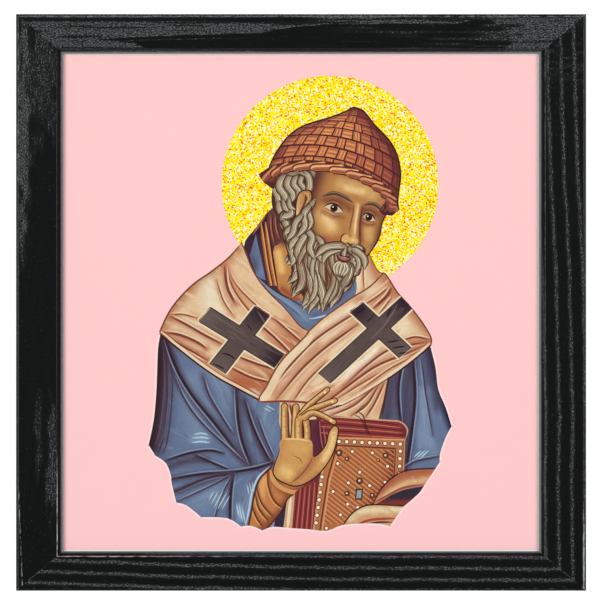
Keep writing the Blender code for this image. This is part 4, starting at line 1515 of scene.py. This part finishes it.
art.area("hung_cloth", [(-6.4, -30), (4, -30.4), (11, -31.4), (19, -27.4), (26.2, -23), (25, -29),
                        (23.6, -35.2), (8, -34.6), (4, -36), (-5.4, -41), (-6.6, -36)], CREAM, "robe")
art.washes("hung_cloth", (
    ([(8, -32.4), (13, -31.6)], 2.4, CREAM_LIGHT, 0.9),
    ([(14, -30), (22, -25)], 2.2, (190, 108, 84), 0.85),
    ([(23, -33), (24.6, -26)], 2, (216, 160, 116), 0.9),
))
art.fill([(-4.9, -31), (-1.6, -31), (-1.4, -41), (-4.2, -41)], (126, 66, 58), 0.9, "robe")
art.stroke([(-3.5, -31.6), (-3.3, -36), (-3.2, -40)], 0.5, CREAM, 0.8, "robe")
for points in (
    [(5.6, -33), (12.6, -30.6), (19.6, -26.8)], [(9, -33.8), (16, -30.8), (22.4, -25)],
    [(15, -34), (19.6, -30.8), (23.4, -24.6)], [(19.4, -34.4), (22, -30.4), (25, -24)],
    [(-3.4, -30.6), (-2.4, -35)], [(1.4, -30.6), (1, -35)],
):
    fold(points, 1.5, salmon_fold, "hung_cloth", -1, 0.5)
art.stroke([(26.2, -22.6), (25, -29), (23.4, -35.2)], 0.5, LINE, 0.9, "robe", (0.8, 0.8))

cuff = curve([(-9.6, -49.8), (-12.4, -53), (-14, -57), (-14.9, -62), (-16.2, -69), (-11.6, -70),
              (-6.4, -63.4), (-4, -58.8), (0.6, -56), (-3, -52)], 4, True)
art.area("under_cuff", [(-13, -66), (-7.6, -63.6), (-3.4, -57), (3.4, -54.4), (0, -70), (-12, -70)],
         ROBE_LIGHT, "robe")
art.fill([(-7.8, -64.4), (-4.6, -59.8), (-2.6, -57), (-3.2, -70), (-8.4, -70)], (52, 40, 60), 1, "robe")
art.area("cream_strip", [(-4.2, -58.6), (-1.9, -57.2), (-2.9, -70), (-5.6, -70)], (206, 160, 120), "robe")
art.stroke([(-3, -57.6), (-4.2, -69)], 0.9, CREAM_LIGHT, 0.9, "cream_strip")
art.area("cuff", cuff, GOLD, "robe")
art.washes("cuff", (
    ([(-11, -53), (-12.6, -60)], 2.2, GOLD_LIGHT, 0.9),
    ([(-9, -50.5), (-6, -56), (-1.6, -57.4)], 2.4, GOLD_SHADE, 0.8),
    ([(-6.6, -64), (-3.6, -58.6), (0.6, -56)], 2.6, GOLD_SHADE, 0.9),
    ([(-12.6, -69), (-8, -64.6)], 2.4, GOLD_SHADE, 0.9),
))
for points in (
    [(-10, -50.6), (-9.8, -55), (-8.2, -59.4), (-5.2, -62)], [(-13.4, -55.4), (-11.8, -60.4),
        (-8.6, -64.2)],
    [(-13.8, -57.2), (-12.6, -62), (-9.8, -65.6)], [(-14.6, -61.4), (-13.4, -64.6), (-11.6, -67.2)],
):
    fold(points, 1, (GOLD_SHADE, (88, 38, 28), GOLD_LIGHT), "cuff", -1, 0.4)
art.strokes("robe", (
    (curve([(-8.8, -49.4), (-12.2, -52.8), (-13.9, -57), (-14.8, -62), (-16.2, -69)]), 0.6, LINE, 0.9,
        (0.6, 1), 1),
    ([(-9.4, -49.2), (-12.9, -52.6), (-14.7, -57), (-15.6, -62), (-16.9, -68)], 0.6, ROBE_PALE, 0.9),
    ([(0.4, -56.2), (-3.8, -58.8), (-6.2, -63.2), (-11.8, -69.4)], 0.45, LINE, 0.9, (0.6, 1)),
))
art.stroke([(-9.2, -50.4), (-8.2, -53.6), (-5.4, -56), (-1.2, -57), (3, -55.2)], 1.3, (212, 156, 92),
    0.9, "cuff", (0.4, 0.3))

rounded = [(28, -35.6), (29.6, -35.8), (31, -36.7), (31.9, -38.1), (31.8, -39.6), (31.2, -41.2)]
pages = [(5, -32.8), (8, -33.9), *rounded, (10.4, -41.2),
         (7, -54), (3.2, -70), (-2.9, -70), (-1.8, -57), (4.4, -52), (3.4, -40)]
art.area("pages", pages, PAGES, "robe")
art.area("behind_hand", [(-2, -35.6), (5.4, -35), (8, -45), (4, -50), (-2, -42)], (96, 44, 56), "robe")
art.glow([(4.4, -38), (6, -46), (4, -52)], 3.2, (84, 36, 52), 0.95, "pages")
for k in range(6):
    drop = 0.95 * k
    line = [(6, -34.4 - drop), (17, -35.2 - drop), (29.4 + 0.4 * k, -36.8 - drop * 0.85)]
    art.stroke(line, 0.3, PAGES_LIGHT if k % 2 else PAGES_DARK, 0.9, "pages", (0.6, 0.6))
    edge = [(5 + k * 0.55, -35 - k * 0.8), (5.4 + k * 0.6, -41), (6.4 + k * 0.3, -44.5)]
    art.stroke(edge, 0.28, PAGES_LIGHT if k % 2 else PAGES_DARK, 0.8, "pages", (0.6, 0.3))
for k in range(9):
    art.stroke([(-0.9 + k * 0.72, -56.2 + k * 0.3), (-2.3 + k * 0.76, -69.4)], 0.3,
               PAGES_LIGHT if k % 2 else PAGES_DARK, 0.85, "pages", (0.6, 0.6))
art.glow([(30.6, -40), (31, -38.4)], 1.6, (84, 30, 44), 0.7, "pages")
art.strokes("robe", (
    ([(5, -33.2), (8, -34.2), (18, -34.9), *rounded], 0.42, (222, 170, 130), 0.8),
    ([(16.6, -32.6), (18.6, -34), (19.4, -37), (21, -40.6)], 0.45, LINE, 0.9),
    ([(15.8, -33.8), (18, -35), (20.2, -40.4)], 0.35, LINE, 0.8),
    ([(20, -29.8), (17.4, -32.2), (16.4, -34)], 0.35, LINE, 0.8),
))

art.area("cover", [(9.6, -40.2), (31.3, -41), (30.8, -53), (24, -60), (14, -70), (3.2, -70), (5.6, -52.4)],
         COVER, "robe")
art.washes("cover", (
    ([(32, -43), (31.4, -52), (24, -60)], 3, COVER_SHADE, 0.7),
    ([(11.4, -44), (8.8, -56)], 4, (190, 116, 62), 0.8),
))
PANEL = [(11.2, -43.4), (28, -44.4), (27.6, -53.2), (22, -60.6), (13, -70), (6.2, -70), (8.4, -54)]
art.area("panel", PANEL, (176, 104, 60), "cover")
art.glow([(27.6, -44.4), (27, -54), (21, -61)], 4, (122, 50, 38), 0.85, "panel")
for k in range(27):
    x = -22 + k * 1.85
    start, end = max(0, (6 - x) / 22), min(1.35, (28.5 - x) / 22)
    ends = [(x + 22 * share, -43 - 17.5 * share) for share in (start, end)]
    if start < end:
        art.stroke(ends, 0.34, COVER_LIGHT, 0.7, "panel", (0.6, 0.6), 2)
        art.stroke([(x + 0.7, z) for x, z in ends], 0.42, COVER_SHADE, 0.5, "panel", (0.6, 0.6), 2)
art.strokes("cover", (
    ([(10.4, -42.9), (28.4, -43.9), (27.8, -54)], 0.55, COVER_LINE, 0.9, (0.8, 0.8), 1),
    ([(10.9, -42.4), (8, -53), (5.4, -70)], 0.5, COVER_LINE, 0.9, (0.8, 0.8), 1),
    ([(11.5, -43.2), (8.7, -53), (6.1, -70)], 0.45, COVER_LIGHT, 0.9, (0.8, 0.8), 1),
    ([(10, -40.7), (31.2, -41.3), (30.8, -51)], 0.45, COVER_LIGHT, 0.9, (0.8, 0.8), 1),
    ([(8.6, -43), (6, -52.4), (3.6, -69.6)], 0.5, COVER_LIGHT, 0.85, (0.8, 0.8), 1),
))


def pearl(middle, radius=0.52):
    """A pearl on its dark seat."""
    art.fill(circle(middle, radius * 1.5, 10), (84, 40, 30), 0.9, "cover")
    art.fill(circle(middle, radius, 8), PEARL, 1, "cover")


for count, x, z, right, down in ((9, 11.4, -41.75, 2.3, 0.1), (4, 29.8, -44.7, -0.1, 2.25),
                                 (7, 6.3, -52.4, -0.3, 2.3)):
    for k in range(count):
        pearl((x + right * k, z - down * k))
for place in ((15.4, -44.8), (21.4, -45.2), (11, -48.4), (26, -49.2), (17.6, -51), (14.2, -54.2),
        (20.6, -55), (25.2, -54), (9.6, -56.8), (14, -60.6), (17, -61.6), (11.8, -63.8), (7.6, -67.8)):
    pearl(place, 0.45)
for middle, size in (((17.6, -53.6), 1.1), ((13.8, -57.4), 0.9), ((21.4, -58), 0.9), ((11.4, -45.2), 1.1),
                     ((25.4, -46), 1), ((13.8, -47), 0.8), ((23.2, -47.4), 0.6)):
    art.fill(circle(middle, size, 8), (58, 44, 34), 0.95, "cover")
    art.fill(circle(middle, size * 0.6, 8), (150, 70, 50), 0.95, "cover")
    art.fill(circle((middle[0] - 0.1, middle[1] + 0.1), size * 0.3, 6), (226, 226, 200), 0.95, "cover")
art.fill([(16.4, -55.9), (18.6, -55.9), (18.4, -59.3), (16.2, -59.3)], (48, 40, 36), 0.95, "cover")
art.fill([(16.8, -56.4), (18.2, -56.4), (18, -58.8), (16.6, -58.8)], (150, 160, 160), 0.95, "cover")

UPPER_DRAPE = [(21.6, -60.6), (24.4, -55.8), (28, -52.4), (32.5, -50.6), (40, -50), (46, -50),
               (42, -55.2), (36.8, -55.2), (32.5, -55.8), (28, -57.4), (24.4, -59.4)]
LOWER_DRAPE = [(12.2, -67.6), (15, -63.9), (17.8, -61.9), (21.6, -60.9), (31, -61.4), (34, -66), (24, -70),
               (12, -70)]
art.area("drape_gap", [(21.6, -60.6), (24.4, -59), (28, -56.8), (40, -54.6), (34, -62), (28, -61.6)],
         DRAPE_DARK, "robe")
art.glow([(22, -60.6), (30, -60.2), (34, -60)], 1.6, (132, 48, 46), 0.95, "drape_gap")
art.area("upper_drape", curve(UPPER_DRAPE, 4, True), (200, 138, 98), "robe")
art.washes("upper_drape", (
    ([(24, -56), (30, -51.8), (40, -50.4)], 3, (168, 92, 64), 1),
    ([(25, -58.2), (31, -54.5), (38, -53.2)], 1.1, (224, 190, 138), 0.85),
))
art.stroke([(21.6, -60.4), (25.6, -58.2), (31, -55.6), (38, -54.7)], 0.7, (150, 70, 52), 0.9, "robe")
art.area("lower_drape", curve(LOWER_DRAPE, 4, True), (206, 156, 112), "robe")
art.washes("lower_drape", (
    ([(14.6, -65), (19, -62.6), (30, -62.2)], 1.5, (230, 216, 176), 0.95),
    ([(16, -68), (22, -65.4), (32, -65)], 1.5, SALMON, 0.95),
))
art.strokes("lower_drape", (
    ([(15.4, -68), (20.4, -65.4), (30, -64.8)], 0.7, (160, 52, 44), 0.9),
    ([(17, -68), (22, -66.2), (28, -66)], 0.6, DRAPE_DARK, 0.9),
))
for line in ([(21.4, -60.8), (24.2, -55.8), (28, -52.2), (32.5, -50.3), (41, -49.8)],
             [(12, -67.8), (14.9, -63.8), (17.7, -61.7), (21.6, -60.7), (31, -61.2)]):
    art.stroke(line, 0.5, LINE, 0.9, "robe", (0.6, 0.8))
print("book done at", len(art.jobs))

# %% [markdown]
# The blessing hand comes last. Each finger is a brown outline, a body and a light along one side,
# laid by one function, with the palm over the ends of the folded fingers.


# %% The hand
HAND = (204, 152, 88)


def finger(points, width, taper=0.72):
    """A finger from its root to its tip, with an outline, a light side and two knuckle creases."""
    line = curve(points)
    half = width / 2 * np.linspace(1, taper, len(line))
    tip, run = line[-1], (line[-1] - line[-2]) / hypot(*(line[-1] - line[-2]))
    for grow, shade in ((0.3, LINE), (0, HAND)):
        art.fill(np.vstack([beside(line, half + grow), beside(line, -half - grow)[::-1]]), shade)
        art.fill(circle(tip, half[-1] + grow, 12), shade)
    art.stroke(beside(line, -half * 0.5), width * 0.36, SKIN, 0.85, steps=1)
    art.stroke(beside(line, -half * 0.85), width * 0.16, SKIN_SHADE, 0.8, steps=1)
    art.stroke(beside(line, half * 0.3), width * 0.3, (226, 184, 120), 0.85, steps=1)
    for share in (0.42, 0.72):
        knuckle = along_line(line, share)
        side = np.array((-run[1], run[0])) * half[-1] * 0.8
        art.stroke([knuckle - side, knuckle + side], 0.24, SKIN_SHADE, 0.7, steps=2)


for root, top, lean in ((-4.8, -31.2, -0.1), (-2, -31.4, 0.3)):
    finger([(root, -42), (root + lean, -36.5), (root + lean * 1.5, top)], 2.1, 0.8)
finger([(1.8, -42.6), (1.9, -38.6), (1.5, -35.8)], 1.9, 0.9)
finger([(-0.5, -42.6), (-0.7, -38.6), (-0.7, -35.4)], 2.2, 0.9)
finger([(-0.6, -34.6), (2, -31.2), (4.8, -28.8), (7.9, -26.2)], 1.7)
finger([(0, -34.8), (3.2, -32.2), (6.6, -30.8), (10.1, -29.5)], 1.9)
finger([(0.6, -34.8), (3.2, -33.2), (6.2, -34), (9.8, -35.9)], 1.8)
PALM = [(-6, -41.2), (-6.5, -45), (-8, -49.4), (-8, -51.8), (-5.4, -53.9), (-1.2, -55), (3.6, -52.8),
        (7.5, -48.6), (9.9, -44), (11, -38.4), (9.9, -37.3), (8.5, -39.2), (7.6, -42.8), (5.4, -45.6),
        (3.6, -46.2), (3.1, -41.6), (-1.4, -40.8)]
art.stroke(PALM[:-1], 0.8, LINE, ends=(0.3, 0.3))
art.area("palm", curve(PALM, 4, True), HAND)
art.washes("palm", (
    ([(4.4, -45), (2.4, -49.4), (-1.6, -53)], 2.4, (170, 104, 66), 0.8),
    ([(-5.6, -41), (-6, -46), (-7.6, -50.4)], 1.4, (190, 134, 80), 0.8),
    ([(-5, -54.4), (0, -55.4), (5, -51.6)], 1.6, (176, 112, 68), 0.9),
    ([(-5, -50.4), (-3.6, -51.4)], 2.8, (226, 186, 118), 0.9),
    ([(-2, -43.4), (0.6, -44)], 2.2, SKIN_LIGHT, 0.7),
))
art.stroke([(-5.8, -41.1), (-1.4, -41), (3, -41.8)], 0.5, SKIN_PALE, 0.7, "palm")
art.glow([(9.9, -39), (9, -43.4), (6.6, -47.4)], 1.3, SKIN_PALE, 0.9, "palm")
art.strokes("palm", (
    ([(-2.6, -46), (-0.6, -46.8), (0.6, -48.6)], 0.3, SKIN_SHADE, 0.8),
    ([(3.6, -46.2), (2.2, -49), (-0.6, -52.4), (-3.4, -54.4)], 0.4, SKIN_SHADE, 0.9),
))
for middle in ((7.1, -27), (9.4, -29.8), (9, -35.5)):
    art.fill(circle(middle, 0.42, 8), (246, 220, 176), 0.9)
print("picture strokes", len(art.jobs))

# %% [markdown]
# Blender's constrained Delaunay triangulation takes all those outlines at once and returns one
# clean sheet. Some points are scattered over the painted parts first, because a wash needs
# triangles that are small beside it.


# %% Lay the strokes on one sheet
def distance_to(line, places):
    """How far each place is from a line."""
    best = np.hypot(*(places - line[0]).T)
    for start, end in zip(line, line[1:]):
        run = end - start
        share = np.clip((places - start) @ run / max(run @ run, 1e-9), 0, 1)
        best = np.minimum(best, np.hypot(*(places - start - share[:, None] * run).T))
    return best


def paint(places, triangles, ground):
    """The ink at each corner of each triangle, with all the jobs laid on in order."""
    corner_places = places[triangles]
    middles = corner_places.mean(1)
    inks = np.tile(ground, (len(triangles), 3, 1))
    masks = {}
    for kind, line, shade, strength, inside, reach in art.jobs:
        if inside and inside not in masks:
            masks[inside] = within(inside, middles)
        if kind != "glow":
            covered = holds(line, middles)
        else:
            low, high = line.min(0) - reach, line.max(0) + reach
            covered = ((middles >= low) & (middles <= high)).all(1)
        chosen = np.flatnonzero(covered & masks[inside] if inside else covered)
        if not len(chosen):
            continue
        share = strength
        if kind == "glow":
            away = distance_to(line, corner_places[chosen].reshape(-1, 2)).reshape(-1, 3, 1)
            share = strength * smooth_step(reach, 0, away)
        inks[chosen] += (shade - inks[chosen]) * share
    return inks


def scatter(left, right, low, high, spacing, names):
    """Evenly spaced places that lie inside any of the named areas."""
    across, up = np.meshgrid(np.arange(left, right, spacing), np.arange(low, high, spacing))
    spots = np.stack([across.ravel(), up.ravel()], axis=1)
    return spots[np.any([within(name, spots) for name in names], axis=0)]


EDGE_ROUND = 0.9
SHEET_HALF = TILE_HALF / MM - EDGE_ROUND
FIGURE_SPACING, HEAD_SPACING = 0.85, 0.6
MERGE_DISTANCE = 1e-5

points, pairs = art.edges()
cloths = scatter(-46, 47, -69, 19, FIGURE_SPACING, ("robe", "left_stole", "right_stole"))
fine = scatter(-12, 31, -4, 59, HEAD_SPACING, ("face", "cap", "collar", "neck_cloth"))
border = [(x * SHEET_HALF, z * SHEET_HALF) for x, z in ((-1, -1), (1, -1), (1, 1), (-1, 1))]
count = len(points)
pairs += [(count + k, count + (k + 1) % 4) for k in range(4)]
everything = [Vector(place) for place in np.vstack([points, border, cloths, fine])]
sheet = delaunay_2d_cdt(everything, pairs, [], 0, MERGE_DISTANCE, False)
places = np.array([tuple(place) for place in sheet[0]])
triangles = np.array(sheet[2])
print("sheet", len(places), "points", len(triangles), "triangles")
WHITE_GLAZE = ink((250, 250, 248), brushed=0.0)
inks = paint(places, triangles, WHITE_GLAZE)

# %% [markdown]
# The sheet is the tile's face. It sits where the solid's face is, and its rim is then pulled out
# and back by hand, round the glazed edge and down to the unglazed foot, and closed behind.

# %% Model the tile
sheet_mesh = bpy.data.meshes.new("picture_tile")
sheet_points = [(x * MM, TILE_FRONT_Y, CENTRE_Z + z * MM) for x, z in places]
sheet_mesh.from_pydata(sheet_points, [], triangles.tolist())
tile = bpy.data.objects.new("picture_tile", sheet_mesh)
bpy.context.scene.collection.objects.link(tile)
store(sheet_mesh, "paint", inks[:, :, :3].reshape(-1, 3), "CORNER")
store(sheet_mesh, "glitter", inks[:, :, 3].ravel(), "CORNER")
store(sheet_mesh, "brushed", inks[:, :, 4].ravel(), "CORNER")
edit(tile)
bpy.ops.mesh.select_mode(type="EDGE")
bpy.ops.mesh.select_all(action="DESELECT")
bpy.ops.mesh.select_non_manifold()
half, deep = SHEET_HALF * MM, 0.0
ROUND_STEPS = 4
FRONT_NORMAL = -0.999
for step in range(1, ROUND_STEPS + 1):
    angle = radians(90) * step / ROUND_STEPS
    wider = (SHEET_HALF + EDGE_ROUND * sin(angle)) * MM
    deeper = EDGE_ROUND * (1 - cos(angle)) * MM
    bpy.ops.mesh.extrude_region_move(TRANSFORM_OT_translate={"value": (0, deeper - deep, 0)})
    bpy.ops.transform.resize(value=(wider / half, 1, wider / half), center_override=(0, 0, CENTRE_Z))
    half, deep = wider, deeper
tile_depth = tile_high.y - tile_low.y
bpy.ops.mesh.extrude_region_move(TRANSFORM_OT_translate={"value": (0, tile_depth - deep, 0)})
bpy.ops.mesh.edge_face_add()
object_mode()
white = [k for side in sheet_mesh.polygons if side.normal.y > FRONT_NORMAL for k in side.loop_indices]
for k in white:
    sheet_mesh.attributes["paint"].data[k].vector = WHITE_GLAZE[:3]
    sheet_mesh.attributes["glitter"].data[k].value = 0
    sheet_mesh.attributes["brushed"].data[k].value = 0
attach(tile, "root")
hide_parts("tile")
print("tile faces", len(sheet_mesh.polygons))

# %% [markdown]
# Glazed print has three looks in one material. Flat ink is even. The painted figure has a faint
# brush grain. The halo is printed glitter, a scatter of white, yellow and orange grains a third
# of a millimetre across. A clear glossy glaze lies over all of it.


# %% Print under glaze
GLITTER = (
    (0.0, (255, 255, 250)),
    (0.13, (255, 255, 220)),
    (0.2, (255, 246, 20)),
    (0.72, (255, 232, 0)),
    (0.86, (255, 184, 0)),
    (0.94, (255, 120, 0)),
    (1.0, (236, 40, 16)),
)
GRAINS_A_METRE = 2700.0


def glazed_print():
    """The tile's finish."""
    finish = Finish("glazed_print")
    place = finish.node("ShaderNodeTexCoord", {}, {}, "Object")
    paint_colour = finish.attribute("paint", "Vector")
    glitter = finish.attribute("glitter")
    brushed = finish.attribute("brushed")
    grain = finish.noise(place, 1900.0, 2.0, 0.6)
    mottle = finish.noise(place, 520.0, 2.0, 0.5)
    strength = 1 + brushed * ((grain - 0.5) * 0.34 + (mottle - 0.5) * 0.2)
    sockets = {0: paint_colour, "Scale": strength}
    scaled = finish.node("ShaderNodeVectorMath", {"operation": "SCALE"}, sockets)
    sockets = {"Vector": place, "Scale": GRAINS_A_METRE}
    cells = finish.node("ShaderNodeTexVoronoi", {}, sockets, "Color")
    dice = finish.node("ShaderNodeSeparateColor", {}, {0: cells}, 0)
    stops = tuple((position, tuple(ink(shade)[:3])) for position, shade in GLITTER)
    gold = finish.node("ShaderNodeValToRGB", {"stops": stops}, {0: dice})
    finish.surface("Base Color", finish.mix(glitter, scaled, gold))
    finish.surface("Roughness", 0.12 + mottle * 0.05)
    finish.bump(finish.noise(place, 160.0, 1.0, 0.4), 0.01 * MM, 0.2)
    return finish.material


tile.data.materials.append(glazed_print())
print("tile glazed")

# %% [markdown]
# ## The back
#
# The board, the hanger and its nails have the right shapes already, so they keep their solids and
# only get their finishes. Hardboard is pressed wet on a wire screen, which leaves a woven print in
# its brown fibres. The hanger is rolled sheet steel under zinc, a little tarnished.


# %% Hardboard and plated steel
FIBRE_DARK, FIBRE_PALE = to_linear((84, 58, 38)), to_linear((158, 122, 88))
FLECK, STAIN = to_linear((62, 40, 26)), to_linear((170, 138, 104))
ZINC_DARK, ZINC_PALE, TARNISH = (to_linear(shade) for shade in ((176, 174, 164), (218, 216, 206),
    (132, 120, 98)))
WIRE_SCALE = 260.0


def pressed_board():
    """The backing board's finish."""
    finish = Finish("pressed_board")
    place = finish.node("ShaderNodeTexCoord", {}, {}, "Object")
    fibres = finish.noise(finish.scaled(place, (900.0, 900.0, 2600.0)), 1.0, 4.0, 0.7)
    flecks = finish.noise(place, 1300.0, 2.0, 0.6).above(0.6, 0.7)
    stain = finish.noise(place, 24.0, 3.0, 0.5)
    brown = finish.mix(fibres, FIBRE_DARK, FIBRE_PALE)
    brown = finish.mix(flecks * 0.6, brown, FLECK)
    finish.surface("Base Color", finish.mix(stain * 0.35, brown, STAIN))
    finish.surface("Roughness", 0.72 + fibres * 0.2)
    sockets = {"Vector": place, "Scale": WIRE_SCALE}
    weft = finish.node("ShaderNodeTexWave", {"bands_direction": "X"}, sockets, "Fac")
    warp = finish.node("ShaderNodeTexWave", {"bands_direction": "Z"}, sockets, "Fac")
    finish.bump(weft * warp + fibres * 0.5, 0.12 * MM, 0.7)
    return finish.material


def plated_steel():
    """The hanger's finish, and its nails'."""
    finish = Finish("plated_steel", Metallic=1.0)
    place = finish.node("ShaderNodeTexCoord", {}, {}, "Object")
    rolled = finish.noise(finish.scaled(place, (150.0, 2400.0, 2400.0)), 1.0, 3.0, 0.6)
    tarnish = finish.noise(place, 260.0, 4.0, 0.65).above(0.5, 0.72)
    zinc = finish.mix(rolled, ZINC_DARK, ZINC_PALE)
    finish.surface("Base Color", finish.mix(tarnish * 0.5, zinc, TARNISH))
    finish.surface("Roughness", 0.26 + rolled * 0.16 + tarnish * 0.2)
    finish.bump(rolled, 0.02 * MM, 0.5)
    return finish.material


board, steel = pressed_board(), plated_steel()
finishes = {
    "backing_board": board,
    "hanger": steel,
    "hanger_nail_left": steel,
    "hanger_nail_right": steel,
}
for node, finish in finishes.items():
    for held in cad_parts[node].material_slots:
        held.material = finish
    print(node, "dressed")
